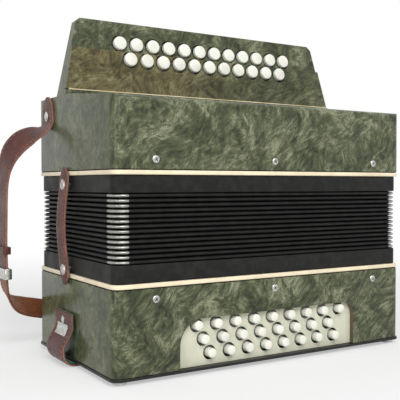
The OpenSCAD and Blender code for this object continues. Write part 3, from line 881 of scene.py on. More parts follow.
def add_stitch(points, faces, centre, along, across, outward, length):
    """One stitch: a small bead, pointed at both ends."""
    first = len(points)
    points.append(centre - along * length / 2 - outward * 0.12)
    for shift, size in ((-0.3, 0.8), (0, 1), (0.3, 0.8)):
        for k in range(6):
            t = math.pi * k / 3
            points.append(
                centre + along * length * shift + (across * math.cos(t) * 0.34 + outward * math.sin(t) * 0.26) * size
            )
    points.append(centre + along * length / 2 - outward * 0.12)
    for k in range(6):
        j = (k + 1) % 6
        faces.append([first, first + 1 + k, first + 1 + j])
        for row in (0, 1):
            a = first + 1 + 6 * row
            faces.append([a + k, a + 6 + k, a + 6 + j, a + j])
        faces.append([first + 13 + k, first + 19, first + 13 + j])


# ------------------------------------------------------------------ bass side


def bass_case_pieces():
    """Bass case with its button window, the light trim, a near-black ring of painted shade beside it and the bellows
    frame.
    """
    z0, z1 = bass_shell.lo.z, bass_shell.hi.z
    case = add_piece("bass_case_shell", *ring_sweep(BODY_W, BODY_D, CORNER_R, closed_wall(-WALL, z0, z1, 0.5, 1.0)),
                     ["celluloid", "side_celluloid", "recess"])
    carve(case, *extrude(window_outline(), along_y, -BODY_D / 2 - 5, -BODY_D / 2 + WALL + 3), finish="recess")
    paint_light_on_end_faces(case)
    finish_shape(case, 0.35)
    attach(case, "bass_side")
    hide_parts("bass_case")
    trim_pieces("bass", bass_trim, bass_shell.hi.z, 1, "bass_side")
    frame_piece("bass_bellows_frame", bass_frame, "bass_side")


def window_outline():
    """Opening in the bass case for the buttons as [x, z]: open at its foot, round at its upper corners."""
    left, right, left_r, right_r = -97.5, 95, 22, 12
    foot, head = bass_shell.lo.z - 3, bass_shell.lo.z + 41
    corner = arc((right - right_r, head - right_r), right_r, 0, 90, 10)
    far_corner = arc((left + left_r, head - left_r), left_r, 90, 180, 16)
    return [(left, foot), (right, foot)] + corner + far_corner


def soften(outline, radius, steps=4):
    """Rounds each corner of a flat outline."""
    result = []
    n = len(outline)
    for i in range(n):
        corner, before, after = Vector(outline[i]), Vector(outline[i - 1]), Vector(outline[(i + 1) % n])
        a = corner + (before - corner).normalized() * radius
        b = corner + (after - corner).normalized() * radius
        for k in range(steps + 1):
            t = k / steps
            result.append(tuple(a * (1 - t) ** 2 + corner * 2 * t * (1 - t) + b * t * t))
    return result


def paint_light_on_end_faces(case):
    """Paints light on the end faces by giving them the lighter, lower-contrast copy of the celluloid, and leaves the
    window's recess as it is.
    """
    for polygon in case.data.polygons:
        if polygon.material_index < 2 and abs(polygon.normal.x) > 0.92:
            polygon.material_index = 1


def trim_pieces(side, trim, case_z, toward, body):
    """Light strip beside the bellows frame, with a thin near-black ring between it and the case, painted shade for the
    gap there.
    """
    # Painted shade: height of the near-black ring that stands for the shade in the gap between case and trim
    seam = 0.8
    z0, z1 = (case_z, trim.hi.z) if toward > 0 else (trim.lo.z, case_z)
    light = (z0 + seam, z1) if toward > 0 else (z0, z1 - seam)
    dark = (z0, z0 + seam) if toward > 0 else (z1 - seam, z1)
    add_piece(f"{side}_trim", *ring_sweep(BODY_W, BODY_D, CORNER_R, closed_wall(-14, *light, 0.9, 0.9, outer=0.2)),
              "cream_trim", body)
    # Near-black ring of painted shade, set back into the gap
    add_piece(f"{side}_seam", *ring_sweep(BODY_W, BODY_D, CORNER_R,
              [(-14, dark[0]), (-0.7, dark[0]), (-0.7, dark[1]), (-14, dark[1])]), "seam", body)


def frame_piece(name, ring, body):
    """Cloth-covered wooden frame that the folds are glued to."""
    w, d = ring.hi.x - ring.lo.x, ring.hi.y - ring.lo.y
    profile = closed_wall(-12.5, ring.lo.z, ring.hi.z, 0.9, 0.9)
    add_piece(name, *ring_sweep(w, d, CORNER_R + 1, profile, 10), "frame_cloth", body)


def screw_pieces(name, screws, body):
    """Small round-headed screws with a cross recess, whose walls are painted near-black as shade."""
    for i, screw in enumerate(sorted(screws, key=lambda s: s.lo.x)):
        centre = middle(screw)
        front, back = screw.lo.y, screw.hi.y
        origin = (centre.x, back, centre.z)
        profile = [(0, 0), (3.2, 0), (3.2, 0.35), (2.9, 0.7), (2.2, 0.95), (1.2, 1.05), (0, 1.1)]
        head = add_piece(f"{name}_{i + 1}", *lathe(profile, origin, (0, -1, 0), 28), "nickel")
        for turn in (35, 125):
            bar = [Vector((x, z)) for x, z in ((-1.9, -0.3), (1.9, -0.3), (1.9, 0.3), (-1.9, 0.3))]
            spin = Matrix.Rotation(math.radians(turn), 2)
            outline = [tuple(Vector((centre.x, centre.z)) + spin @ p) for p in bar]
            # Painted shade: the cross recess takes the near-black material
            carve(head, *extrude(outline, along_y, front - 1, back - 0.45), finish="seam")
        finish_shape(head, None, 40)
        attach(head, body)


def stud_piece(name, stud, body):
    """Lower half of a press stud: a flange with a round knob."""
    origin = (stud.hi.x, middle(stud).y, middle(stud).z)
    height = stud.hi.x - stud.lo.x
    profile = [(0, 0), (4, 0), (4, 0.9), (3.4, 1.2), (2.2, 1.3), (2.0, height - 0.5), (1.5, height), (0, height)]
    add_piece(name, *lathe(profile, origin, (-1, 0, 0), 28), "nickel", body)


class ACCORDION_OT_bass_case(bpy.types.Operator):
    """Bass case, its trim, the near-black ring of painted shade beside the trim, bellows frame, screws and press stud
    """

    bl_idname = "accordion.bass_case"
    bl_label = "Bass case"

    def execute(self, context):
        bass_case_pieces()
        screw_pieces("bass_case_screw", bass_solids[4:], "bass_side")
        stud_piece("bass_press_stud", bass_solids[3], "bass_side")
        return {"FINISHED"}


class ACCORDION_OT_end_cover(bpy.types.Operator):
    """Dark end plate and its four feet"""

    bl_idname = "accordion.end_cover"
    bl_label = "End cover and feet"

    def execute(self, context):
        plate, feet = cover_solids[0], cover_solids[1:]
        w, d = plate.hi.x - plate.lo.x, plate.hi.y - plate.lo.y
        outline = rounded_loop(w, d, CORNER_R)
        made = add_piece("bass_end_plate", *extrude(outline, upright, plate.lo.z, plate.hi.z), "black_plate",
                         "bass_side", bevel=0.6)
        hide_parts("bass_end_cover")
        for i, foot in enumerate(feet):
            centre, height = middle(foot), foot.hi.z - foot.lo.z
            r = (foot.hi.x - foot.lo.x) / 2
            side = [(r - 1.6, 0), (r - 0.7, 0.25), (r - 0.2, 0.9), (r, height - 0.8), (r, height)]
            turned = lathe([(0, 0), *side, (0, height)], (centre.x, centre.y, foot.lo.z), (0, 0, 1))
            add_piece(f"foot_{i + 1}", *turned, "foot", "bass_side")
        return {"FINISHED"}


class ACCORDION_OT_bass_panel(bpy.types.Operator):
    """Light panel in the window, with a hole for each bass button"""

    bl_idname = "accordion.bass_panel"
    bl_label = "Bass button panel"

    def execute(self, context):
        made = cad_piece("bass_panel", solids("bass_button_panel"), "cream_panel", "bass_side", bevel=0.3)
        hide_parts("bass_button_panel")
        return {"FINISHED"}


class ACCORDION_OT_bass_buttons(bpy.types.Operator):
    """Bass buttons with their stems and springs"""

    bl_idname = "accordion.bass_buttons"
    bl_label = "Bass buttons"

    def execute(self, context):
        s = settings().buttons
        for name in BASS_BUTTONS:
            body = name + "_stem"
            cap, sleeve, stem = solids(name)
            centre, front, back = middle(cap), cap.lo.y, cap.hi.y
            r = (cap.hi.x - cap.lo.x) / 2
            profile = disc_profile(r, 0, back - front - s.dome / MM, s.edge / MM * 0.8, s.dome / MM)
            made = add_piece(f"{name}_cap", *lathe(profile, (centre.x, back, centre.z), (0, -1, 0)), "button", body)
            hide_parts(name)
            length = stem.hi.y - stem.lo.y
            rod = [(0, 0), (1.6, 0), (2, 0.5), (2, length - 0.5), (1.6, length), (0, length)]
            add_piece(f"{name}_rod", *lathe(rod, (centre.x, stem.lo.y, centre.z), (0, 1, 0), 20), "lever", body)
            add_piece(f"{name}_spring", *coil(sleeve), "lever", body)
        return {"FINISHED"}


def coil(sleeve, wire=0.45, turns=5):
    """Return spring in the room of its sleeve, as a wire tube wound about Y."""
    centre = middle(sleeve)
    radius = (sleeve.hi.x - sleeve.lo.x) / 2 - wire - 0.1
    y0, y1 = sleeve.lo.y + wire, sleeve.hi.y - wire
    steps, around = 16 * turns, 6
    points, faces = [], []
    for i in range(steps + 1):
        t = 2 * math.pi * i / 16
        out = Vector((math.cos(t), 0, math.sin(t)))
        place = Vector((centre.x, y0 + (y1 - y0) * i / steps, centre.z)) + out * radius
        for k in range(around):
            a = 2 * math.pi * k / around
            points.append(place + (out * math.cos(a) + Vector((0, 1, 0)) * math.sin(a)) * wire)
    for i in range(steps):
        a = i * around
        for k in range(around):
            j = (k + 1) % around
            faces.append([a + k, a + j, a + around + j, a + around + k])
    faces += [list(range(around)), list(range(len(points) - 1, len(points) - around - 1, -1))]
    return points, faces


class ACCORDION_OT_bass_inside(bpy.types.Operator):
    """Sound board, reed blocks, rockers and pallets inside the bass case"""

    bl_idname = "accordion.bass_inside"
    bl_label = "Bass action and reeds"

    def execute(self, context):
        reed_pieces("bass_reed_bank", "bass_side")
        parts = solids("bass_action")
        pallets = [p for p in parts if 12.5 < p.hi.x - p.lo.x < 13.5]
        rockers = [p for p in parts if p.hi.x - p.lo.x < 3]
        rest = [p for p in parts if p.hi.x - p.lo.x > 20]
        made = cad_piece("bass_guide_and_shafts", rest, "lever", "bass_side")
        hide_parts("bass_action")
        cad_piece("bass_rockers", rockers, "lever", "bass_side", bevel=0.2)
        cad_piece("bass_pallets", pallets, "pallet", "bass_side", bevel=0.3)
        return {"FINISHED"}


def reed_pieces(node, body):
    """Sound board with its two reed blocks, and the metal reed plates on them."""
    parts = solids(node)
    plates = [p for p in parts if p.hi.y - p.lo.y < 2]
    boards = [p for p in parts if p.hi.y - p.lo.y >= 2]
    made = cad_piece(f"{node}_wood", boards, "spruce", body, bevel=0.3)
    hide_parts(node)
    cad_piece(f"{node}_plates", plates, "reed", body)


# ------------------------------------------------------------------ bellows


def fold_profile(z):
    """Closed profile of one fold: a flat ridge between two half grooves."""
    s = settings().bellows
    groove, ridge = s.groove / MM, s.ridge / MM
    mid = z + FOLD_PITCH / 2
    slope = [(-groove, 0.0), (-groove + 0.5, 0.18), (-1.3, 0.72), (-0.6, 0.98)]
    rim = [(-0.15, mid - z - ridge / 2 - 0.12), (0, mid - z - ridge / 2 + 0.12)]
    low = [(x, z + h) for x, h in slope + rim]
    high = [(x, 2 * mid - h) for x, h in reversed(low)]
    return low + high + [(-15, z + FOLD_PITCH), (-15, z)]


def protector_points(z):
    """Four metal caps that wrap a ridge at the corners, each a shell of its own."""
    thick = settings().bellows.protector / MM
    mid = z + FOLD_PITCH / 2
    outside = [(-1.5, -1.45), (-0.5, -1.18), (0.02, -0.72), (thick, -0.3)]
    inside = [(-1.7, 1.15), (-0.7, 0.95), (-0.25, 0.55), (-0.05, 0.2)]
    shell = outside + [(x, -h) for x, h in reversed(outside)] + inside + [(x, -h) for x, h in reversed(inside)]
    profile = [(x, mid + h) for x, h in shell]
    steps = 12
    points, faces = [], []
    loops = [corner_run(FOLD_W + 2 * x, FOLD_D + 2 * x, FOLD_CORNER_R + x, steps) for x, _ in profile]
    run = len(loops[0][0])
    for corner in range(4):
        first = len(points)
        for (_, h), loop in zip(profile, loops):
            points += [(x, y, h) for x, y in loop[corner]]
        rows = len(profile)
        for k in range(rows):
            a, b = first + k * run, first + (k + 1) % rows * run
            faces += [[a + i, a + i + 1, b + i + 1, b + i] for i in range(run - 1)]
        faces.append([first + k * run for k in range(rows)])
        faces.append([first + k * run + run - 1 for k in reversed(range(rows))])
    return points, faces


def corner_run(w, d, r, steps):
    """The four corners of a rounded rectangle, each with a short straight run beside it."""
    x, y = w / 2 - r, d / 2 - r
    side, front = 2.5, 1.5
    runs = []
    for sx, sy in ((1, 1), (-1, 1), (-1, -1), (1, -1)):
        turn = arc((0, 0), r, 0, 90, steps)
        line = [(r, -side)] + turn + [(-front, r)]
        runs.append([(sx * (x + a), sy * (y + b)) for a, b in line])
    return runs


class ACCORDION_OT_bellows(bpy.types.Operator):
    """Folds of the bellows between both sides, and their metal corner protectors"""

    bl_idname = "accordion.bellows"
    bl_label = "Bellows"

    def execute(self, context):
        for i in range(FOLD_COUNT):
            z = folds.lo.z + i * FOLD_PITCH
            ring = ring_sweep(FOLD_W, FOLD_D, FOLD_CORNER_R, fold_profile(z), 10)
            made = add_piece(f"bellows_fold_{i + 1:02d}", *ring, "bellows_cloth", smooth=50)
            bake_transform(made)
            if i == 0:
                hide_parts("bellows_folds")
            caps = add_piece(f"bellows_protectors_{i + 1:02d}", *protector_points(z), "protector", smooth=50)
            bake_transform(caps)
        return {"FINISHED"}


# ------------------------------------------------------------------ treble side


def lid_height(y):
    """Height of the treble lid at a depth, without its rounded edges."""
    front_z = treble_shell.hi.z - LID_RISE
    level_y = BODY_D / 2 - LID_LEVEL_D
    return treble_shell.hi.z if y >= level_y else front_z + LID_RISE * (y + BODY_D / 2) / (BODY_D - LID_LEVEL_D)


def lid_outline():
    """Side view of the treble case with the rounded front and back edges of its lid, as [y, z]."""
    y0, z0 = -BODY_D / 2, treble_shell.lo.z
    slope = math.degrees(math.atan(LID_RISE / (BODY_D - LID_LEVEL_D)))
    low = lid_height(y0) + LID_R * math.tan(math.radians(slope)) - LID_R / math.cos(math.radians(slope))
    front = arc((y0 + LID_R, low), LID_R, 180, 90 + slope, 8)
    back = arc((-y0 - LID_R, treble_shell.hi.z - LID_R), LID_R, 90, 0, 8)
    return [(-y0, z0), (y0, z0)] + front + [(-y0 - LID_LEVEL_D, treble_shell.hi.z)] + back


def treble_case_pieces():
    z0, z1 = treble_shell.lo.z, treble_shell.hi.z
    outline = rounded_loop(BODY_W, BODY_D, CORNER_R)
    case = add_piece("treble_case_shell", *extrude(outline, upright, z0 - 5, z1 + 5),
                     ["celluloid", "side_celluloid", "spruce"])
    carve(case, *extrude(lid_outline(), across_x, -BODY_W, BODY_W), operation="INTERSECT")
    inner = [(-BODY_D / 2 + WALL, z0 - 2), (-BODY_D / 2 + WALL, lid_height(-BODY_D / 2 + WALL) - LID_T),
             (BODY_D / 2 - LID_LEVEL_D, z1 - LID_T), (BODY_D / 2 - WALL, z1 - LID_T), (BODY_D / 2 - WALL, z0 - 2)]
    carve(case, *extrude(inner, across_x, -BODY_W / 2 + WALL, BODY_W / 2 - WALL), finish="spruce")
    for x, y, length, width in lid_openings():
        half_l, half_w = length / 2, width / 2
        corner = min(half_w * 0.98, 2.5)
        hole = [(x - half_l, y - half_w), (x + half_l, y - half_w), (x + half_l, y + half_w), (x - half_l, y + half_w)]
        carve(case, *extrude(soften(hole, corner, 6), upright, z1 - 20, z1 + 5))
    paint_light_on_end_faces(case)
    finish_shape(case, 0.35)
    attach(case, "treble_side")
    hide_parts("treble_case")


def lid_openings():
    """Sound slots as [x, y, length, width], and the passage of the key levers under the fingerboard."""
    slots = 9
    pitch = (BODY_W - 60) / slots
    rows = sorted({round(middle(pallet_of(k)).y, 1) for k in TREBLE_KEYS})
    found = [((i - (slots - 1) / 2) * pitch, y, 24, 5) for y in rows for i in range(slots)]
    passage_w = TREBLE_UPPER * TREBLE_PITCH + PASSAGE_SIDE
    back = board_shell.hi.y - 1.6
    front = middle(board_axle).y - 4
    return found + [(0, (front + back) / 2, passage_w, back - front)]


def pallet_of(key):
    """The pallet of a treble key: its lowest wooden block."""
    return min((s for s in solids(key) if s.hi.x - s.lo.x > 8), key=lambda s: s.hi.z)


class ACCORDION_OT_treble_case(bpy.types.Operator):
    """Treble case with its lid, trim, the near-black ring of painted shade beside the trim, bellows frame, screws and
    press stud
    """

    bl_idname = "accordion.treble_case"
    bl_label = "Treble case"

    def execute(self, context):
        treble_case_pieces()
        trim_pieces("treble", treble_trim, treble_shell.lo.z, -1, "treble_side")
        frame_piece("treble_bellows_frame", treble_frame, "treble_side")
        screw_pieces("treble_case_screw", treble_solids[4:], "treble_side")
        stud_piece("treble_press_stud", treble_solids[3], "treble_side")
        return {"FINISHED"}


class ACCORDION_OT_fingerboard(bpy.types.Operator):
    """Fingerboard shell, its raised lower plate, the bright strip and the key axle"""

    bl_idname = "accordion.fingerboard"
    bl_label = "Fingerboard"

    def execute(self, context):
        # The shell's end faces get the lighter copy of the celluloid: painted light.
        made = cad_piece("fingerboard_shell", [board_shell], ["celluloid", "side_celluloid"], "treble_side", bevel=0.6,
                         face_finish=lambda c, n: 1 if abs(n.x) > 0.8 else 0)
        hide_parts("fingerboard")
        cad_piece("fingerboard_plate", [board_plate], "brown_celluloid", "treble_side", bevel=0.5)
        cad_piece("fingerboard_strip", [board_strip], "gilt", "treble_side", bevel=0.15)
        cad_piece("key_axle", [board_axle], "lever", "treble_side")
        return {"FINISHED"}


class ACCORDION_OT_treble_keys(bpy.types.Operator):
    """Treble buttons, and the lever, pallet and spring behind each"""

    bl_idname = "accordion.treble_keys"
    bl_label = "Treble keys"

    def execute(self, context):
        s = settings().buttons
        for name in TREBLE_KEYS:
            body = name + "_lever"
            parts = solids(name)
            cap = max(parts, key=lambda p: p.lo.z)
            pallet = pallet_of(name)
            heights = [p.dot(BUTTON_AXIS) for p in cap.points]
            top, foot = max(heights), min(heights)
            rim = [p for p, h in zip(cap.points, heights) if top - h < 0.05]
            centre = sum(rim, Vector()) / len(rim)
            radius = max((p - centre).length for p in rim)
            profile = disc_profile(radius, 0, BUTTON_H - s.dome / MM, s.edge / MM, s.dome / MM)
            stem = [(0, foot - top + BUTTON_H), (1.4, foot - top + BUTTON_H), (1.4, 0), (radius - 0.3, 0)]
            turned = lathe(stem + profile[2:], centre - BUTTON_AXIS * BUTTON_H, BUTTON_AXIS, 36)
            made = add_piece(f"{name}_button", *turned, "button", body)
            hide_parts(name)
            others = [p for p in parts if p is not cap and p is not pallet]
            cad_piece(f"{name}_arm", others, "lever", body, bevel=0.2)
            cad_piece(f"{name}_pallet", [pallet], "pallet", body, bevel=0.3)
        return {"FINISHED"}


class ACCORDION_OT_treble_reeds(bpy.types.Operator):
    """Sound board and reed blocks inside the treble case"""

    bl_idname = "accordion.treble_reeds"
    bl_label = "Treble reeds"

    def execute(self, context):
        reed_pieces("treble_reed_bank", "treble_side")
        return {"FINISHED"}


# ------------------------------------------------------------------ straps


def rivet(name, origin, axis, radius, height, body):
    """Domed rivet head with a fine ring round it."""
    shares = [(0, 0), (1, 0), (1, 0.3), (0.86, 0.42), (0.78, 0.4), (0.70, 0.72), (0.5, 0.92), (0.25, 1), (0, 1.02)]
    profile = [(radius * r, height * h) for r, h in shares]
    add_piece(name, *lathe(profile, origin, axis, 32), "nickel", body, smooth=50)


def hand_strap_path(offset):
    """Hand strap's middle line as [x, z] at an offset from its inner side, from the left end round to the right."""
    leather_band = hand_solids[0]
    top, foot = leather_band.hi.z, 3.5
    face = BODY_W / 2 + 1.2
    bulge = 9
    bend_x, bend_z = face + bulge - 1, foot + bulge
    side = [(face + offset, top), (face + offset, top - 7), (face + offset, top - 14), (face + offset + 4, top - 22),
            (bend_x + offset, bend_z + 5), (bend_x + offset, bend_z)]
    side += arc((bend_x - bulge, bend_z), bulge + offset, 0, -90, 6)[1:]
    side += [(x, foot - offset) for x in (bend_x - bulge - 12, 110, 60, 0)]
    return [(-x, z) for x, z in side] + [(x, z) for x, z in reversed(side[:-1])]


def hand_strap_stations(offset, width):
    stations = [[x, STRAP_Y, z, width, 0, -1, 0] for x, z in hand_strap_path(offset)]
    return smooth_path(stations, 4)


class ACCORDION_OT_hand_strap(bpy.types.Operator):
    """Leather hand strap with its felt lining, stitching, rivets and blank badge"""

    bl_idname = "accordion.hand_strap"
    bl_label = "Hand strap"

    def execute(self, context):
        s = settings().straps
        band = hand_strap_stations(2.15, 40)
        made = add_piece("hand_strap_leather", *strip(band, HAND_LEATHER_T, 0.12), "leather", "bass_side", smooth=60)
        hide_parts("bass_hand_strap")
        lining = strip(hand_strap_stations(0.72, 38), HAND_FELT_T, 0)
        add_piece("hand_strap_felt", *lining, "felt", "bass_side", smooth=60)
        add_piece("hand_strap_edges", *strap_edges(band, HAND_LEATHER_T), "leather_edge", "bass_side", smooth=60)
        legs = [q for q in band if abs(q[0]) > BODY_W / 2 - 4]
        for side, run in (("left", [q for q in legs if q[0] < 0]), ("right", [q for q in legs if q[0] > 0])):
            beads = stitches(run, HAND_LEATHER_T, s.stitch / MM, 3.0)
            add_piece(f"hand_strap_stitching_{side}", *beads, "thread", "bass_side")
        top = hand_solids[0].hi.z
        for side, sign in (("left", -1), ("right", 1)):
            origin = (sign * (BODY_W / 2 + 1.2 + 3.0), STRAP_Y, top - 7)
            rivet(f"hand_strap_rivet_{side}", origin, (sign, 0, 0), 3.5, 1.0, "bass_side")
        plate = [q for q in band if q[0] < 0 and 24 < q[2] < 36]
        badge = [[q[0] - 1.05, q[1] + 1, q[2], 24, 0, -1, 0] for q in plate]
        add_piece("hand_strap_badge", *strip(badge, 0.5, 0.1), "nickel", "bass_side", smooth=60)
        return {"FINISHED"}


def strap_edges(stations, thickness, bead=0.35):
    """Burnished cut edges along both sides of a strap, as thin rounded beads."""
    points, faces = [], []
    frames = strip_frames(stations)
    for side in (1, -1):
        first = len(points)
        for place, _, across, outward, width in frames:
            centre = place + across * (width / 2 - bead * 0.6) * side
            for k in range(6):
                t = math.pi * k / 3
                points.append(centre + across * math.cos(t) * bead + outward * math.sin(t) * thickness * 0.52)
        for i in range(len(frames) - 1):
            a = first + 6 * i
            faces += [[a + k, a + (k + 1) % 6, a + 6 + (k + 1) % 6, a + 6 + k] for k in range(6)]
        faces.append([first + k for k in range(6)])
        faces.append([len(points) - 1 - k for k in range(6)])
    return points, faces


class ACCORDION_OT_bellows_strap(bpy.types.Operator):
    """Leather strap that keeps the bellows shut, with its two press caps"""

    bl_idname = "accordion.bellows_strap"
    bl_label = "Bellows strap"

    def execute(self, context):
        s = settings().straps
        body = "bellows_strap_body"
        parts = solids("bellows_strap")
        band, caps = parts[0], sorted(parts[1:], key=lambda p: p.lo.z)
        z0, z1 = band.lo.z, band.hi.z
        x = middle(band).x
        full = band.hi.y - band.lo.y
        stations = []
        for share, width in ((0, 2.5), (0.02, 8), (0.05, 13), (0.09, full), (0.2, full), (0.35, full), (0.5, full),
                             (0.65, full), (0.8, full), (0.91, full), (0.95, 13), (0.98, 8), (1, 2.5)):
            bow = s.bow / MM * max(0, math.sin(math.pi * (share - 0.13) / 0.74)) if 0.13 < share < 0.87 else 0
            stations.append([x - bow, STRAP_Y, z0 + (z1 - z0) * share, width, 0, 1, 0])
        path = smooth_path(stations, 4)
        made = add_piece("bellows_strap_leather", *strip(path, BELLOWS_STRAP_T, 0.15), "leather", body, smooth=60)
        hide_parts("bellows_strap")
        add_piece("bellows_strap_edges", *strap_edges(path, BELLOWS_STRAP_T), "leather_edge", body, smooth=60)
        inner = [q for q in path if q[3] > full - 0.5]
        add_piece("bellows_strap_stitching", *stitches(inner, BELLOWS_STRAP_T, s.stitch / MM, 2.6), "thread", body)
        for i, cap in enumerate(caps):
            origin = (x - 1.05, middle(cap).y, middle(cap).z)
            rivet(f"bellows_strap_cap_{i + 1}", origin, (-1, 0, 0), (cap.hi.z - cap.lo.z) / 2, 2.0, body)
        return {"FINISHED"}


# Middle line of the shoulder strap as [outside the end face, y from the back, z from the fixing, width, turn]
STRAP_ROUTE = [
    (1.5, -30, 18, 5, 0), (1.5, -30, 13, 18, 0), (1.5, -30, 7, 24, 0), (1.5, -30, -6, 26, 0),
    (3.8, -29.8, -10.5, 26, 3), (8.8, -28.3, -14.5, 26, 15), (17, -25, -18, 26, 34), (26, -22, -24, 26, 46),
    (33, -19, -33, 26, 50), (37.5, -17, -45, 26, 44), (39.5, -15, -59, 26, 32), (40, -14, -75, 26, 18),
    (40, -13, -93, 26, 6), (40, -12, -111, 26, 0), (39.5, -11, -128, 25, 0), (38.5, -10, -143, 24, 0),
    (37.5, -9, -157, 22, 5), (34.5, -6.5, -168, 20, 20), (27, -1.5, -177, 19, 42), (16, 4.5, -182, 19, 66),
    (2, 9.5, -186, 19, 82), (-14, 13, -189.5, 19, 90), (-36, 15, -192, 19, 90), (-70, 16, -194, 19, 90),
    (-110, 16.5, -195, 19, 90), (-157, 16.5, -195.5, 19, 90)]
FIXING_Z = treble_shell.hi.z - 17
BUCKLE_STATION = 15


def strap_station(route, side):
    out, y, z, width, turn = route
    t = math.radians(turn)
    return [side * (BODY_W / 2 + out), BODY_D / 2 + y, FIXING_Z + z, width, 0, -side * math.cos(t), math.sin(t)]


def frame_loop(part, finish, name, body):
    """A flat frame round a hanging strap: a rounded ring about Z."""
    cx, cy, cz = middle(part)
    width, depth, height = (part.hi[k] - part.lo[k] for k in range(3))
    edge = LOOP_RIM * 0.4
    profile = closed_wall(-LOOP_RIM, cz - height / 2, cz + height / 2, edge, edge)
    points, faces = ring_sweep(width, depth, LOOP_RIM + 0.8, profile, 5)
    add_piece(name, [(x + cx, y + cy, z) for x, y, z in points], faces, finish, body, smooth=50)


class ACCORDION_OT_shoulder_strap(bpy.types.Operator):
    """Shoulder strap: dark leather from both fixings, lighter leather below, with its loop, buckle and rivets"""

    bl_idname = "accordion.shoulder_strap"
    bl_label = "Shoulder strap"

    def execute(self, context):
        s = settings().straps
        body = "shoulder_strap_body"
        left = [strap_station(r, -1) for r in STRAP_ROUTE]
        right = [strap_station(r, 1) for r in reversed(STRAP_ROUTE[:-1])]
        upper_left = smooth_path(left[: BUCKLE_STATION + 1], 4)
        upper_right = smooth_path(right[-BUCKLE_STATION - 1:], 4)
        lower = smooth_path(left[BUCKLE_STATION:] + right[: len(right) - BUCKLE_STATION], 4)
        made = add_piece("shoulder_strap_left", *strip(upper_left, SHOULDER_T, 0.2), "leather", body, smooth=60)
        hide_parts("shoulder_strap")
        add_piece("shoulder_strap_right", *strip(upper_right, SHOULDER_T, 0.2), "leather", body, smooth=60)
        add_piece("shoulder_strap_lower", *strip(lower, SHOULDER_LOWER_T, 0.15), "tan", body, smooth=60)
        for name, run in (("left", upper_left), ("right", upper_right)):
            add_piece(f"shoulder_strap_edges_{name}", *strap_edges(run, SHOULDER_T), "leather_edge", body, smooth=60)
            wide = [q for q in run if q[3] > 20]
            beads = stitches(wide, SHOULDER_T, s.stitch / MM, 2.6)
            add_piece(f"shoulder_strap_stitching_{name}", *beads, "thread", body)
        beads = stitches(lower, SHOULDER_LOWER_T, s.stitch / MM, 2.2)
        add_piece("shoulder_strap_stitching_lower", *beads, "thread", body)
        for side, sign in (("left", -1), ("right", 1)):
            origin = (sign * (BODY_W / 2 + 1.5 + 1.2), BODY_D / 2 + STRAP_ROUTE[0][1], FIXING_Z)
            rivet(f"shoulder_strap_rivet_{side}", origin, (sign, 0, 0), 4.5, 1.6, body)
        loops = sorted((p for p in solids("shoulder_strap") if p.hi.y - p.lo.y > 25 and p.hi.z - p.lo.z < 12),
                       key=lambda p: p.lo.z)
        for part, finish, name in zip(loops, ("nickel", "leather"), ("shoulder_strap_buckle", "shoulder_strap_loop")):
            frame_loop(part, finish, name, body)
        return {"FINISHED"}


# ------------------------------------------------------------------ stage


def floor_material():
    """Pale floor that keeps the object's shadow and fades into the white surround."""
    made, tree, principled = new_material("studio floor", Roughness=0.9, Specular_IOR_Level=0.05)
    principled.inputs["Base Color"].default_value = rgba(settings().stage.floor)
    place = tree.nodes.new("ShaderNodeTexCoord").outputs["Object"]
    far = add_node(tree, "ShaderNodeVectorMath", {0: place}, operation="LENGTH").outputs["Value"]
    fade = ramp_between(tree, far, 0.25, 1.1)
    seen = tree.nodes.new("ShaderNodeLightPath")
    direct = calculate(tree, "MAXIMUM", seen.outputs["Is Camera Ray"], seen.outputs["Is Glossy Ray"])
    direct = calculate(tree, "MAXIMUM", direct, seen.outputs["Is Transmission Ray"])
    white = add_node(tree, "ShaderNodeEmission", {"Color": (1, 1, 1, 1), "Strength": 1.0})
    lift = calculate(tree, "MULTIPLY_ADD", fade, 0.55)
    lift.node.inputs[2].default_value = 0.45
    share = calculate(tree, "MULTIPLY", lift, direct)
    both = add_node(tree, "ShaderNodeMixShader", {0: share, 1: principled.outputs[0], 2: white.outputs[0]})
    tree.links.new(both.outputs[0], tree.nodes["Material Output"].inputs["Surface"])
    return made


def white_surround(level):
    """World that lights plainly and looks white behind and in the gloss."""
    world = bpy.data.worlds.new("studio surround")
    bpy.context.scene.world = world
    world.use_nodes = True
    tree = world.node_tree
    background = tree.nodes["Background"]
    background.inputs["Color"].default_value = (1, 1, 1, 1)
    seen = tree.nodes.new("ShaderNodeLightPath")
    direct = calculate(tree, "MAXIMUM", seen.outputs["Is Camera Ray"], seen.outputs["Is Transmission Ray"])
    direct = calculate(tree, "MAXIMUM", direct, seen.outputs["Is Glossy Ray"])
    strength = add_node(tree, "ShaderNodeMapRange", {"Value": direct, "To Min": level, "To Max": 1.0})
    tree.links.new(strength.outputs["Result"], background.inputs["Strength"])


def add_lamp(name, place, target, power, width, height):
    lamp = bpy.data.lights.new(name, "AREA")
    lamp.shape = "RECTANGLE"
    lamp.energy, lamp.size, lamp.size_y = power, width, height
    made = bpy.data.objects.new(name, lamp)
    bpy.context.scene.collection.objects.link(made)
    made.location = place
    made.rotation_mode = "QUATERNION"
    made.rotation_quaternion = (Vector(target) - Vector(place)).to_track_quat("-Z", "Y")


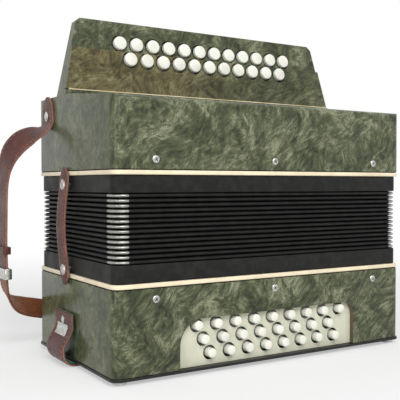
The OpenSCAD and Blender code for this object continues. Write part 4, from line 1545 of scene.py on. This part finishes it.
class ACCORDION_OT_stage(bpy.types.Operator):
    """Floor, plain soft lamps, surround and camera"""

    bl_idname = "accordion.stage"
    bl_label = "Studio"

    def execute(self, context):
        s = settings().stage
        scene = bpy.context.scene
        mesh = bpy.data.meshes.new("studio_floor")
        outline = [Vector((x, y, 0)) for x, y in arc((0, 0), FLOOR_RADIUS, 0, 360, 64)[:-1]]
        mesh.from_pydata(outline, [], [list(range(len(outline)))])
        mesh.materials.append(floor_material())
        floor = bpy.data.objects.new("studio_floor", mesh)
        scene.collection.objects.link(floor)
        white_surround(s.ambient)
        add_lamp("key lamp", (-0.35, -1.3, 1.25), LAMP_TARGET, s.key, 1.0, 0.8)
        add_lamp("strip lamp", (-1.25, -0.72, 0.3), LAMP_TARGET, s.rim, 0.36, 1.3)
        data = bpy.data.cameras.new("camera")
        data.lens, data.sensor_width = s.lens, 36
        data.clip_start, data.clip_end = 0.01, 50
        camera = bpy.data.objects.new("camera", data)
        scene.collection.objects.link(camera)
        camera.location = CAMERA_PLACE
        camera.rotation_mode = "QUATERNION"
        camera.rotation_quaternion = Vector(CAMERA_AIM).to_track_quat("-Z", "Y")
        scene.camera = camera
        scene.view_settings.view_transform = "Standard"
        return {"FINISHED"}


# ------------------------------------------------------------------ panel and registration

OPERATORS = [
    ACCORDION_OT_bass_case,
    ACCORDION_OT_end_cover,
    ACCORDION_OT_bass_panel,
    ACCORDION_OT_bass_buttons,
    ACCORDION_OT_bass_inside,
    ACCORDION_OT_bellows,
    ACCORDION_OT_treble_case,
    ACCORDION_OT_fingerboard,
    ACCORDION_OT_treble_keys,
    ACCORDION_OT_treble_reeds,
    ACCORDION_OT_hand_strap,
    ACCORDION_OT_bellows_strap,
    ACCORDION_OT_shoulder_strap,
    ACCORDION_OT_stage,
]


class ACCORDION_PT_pieces(bpy.types.Panel):
    """Lists the settings and the pieces in the order in which they are made"""

    bl_idname = "ACCORDION_PT_pieces"
    bl_label = "Accordion"
    bl_space_type = "VIEW_3D"
    bl_region_type = "UI"
    bl_category = "Accordion"

    def draw(self, context):
        values = context.scene.accordion
        for name, group in SETTINGS.items():
            box = self.layout.box()
            box.label(text=group.__doc__)
            for key in group.__annotations__:
                box.prop(getattr(values, name), key)
        for operator in OPERATORS:
            self.layout.operator(operator.bl_idname)


CLASSES = [*SETTINGS.values(), AccordionSettings, *OPERATORS, ACCORDION_PT_pieces]


def register():
    for cls in CLASSES:
        bpy.utils.register_class(cls)
    bpy.types.Scene.accordion = PointerProperty(type=AccordionSettings)


def unregister():
    del bpy.types.Scene.accordion
    for cls in reversed(CLASSES):
        bpy.utils.unregister_class(cls)


def main():
    register()
    for operator in OPERATORS:
        group, name = operator.bl_idname.split(".")
        getattr(getattr(bpy.ops, group), name)()


if __name__ == "__main__":
    main()
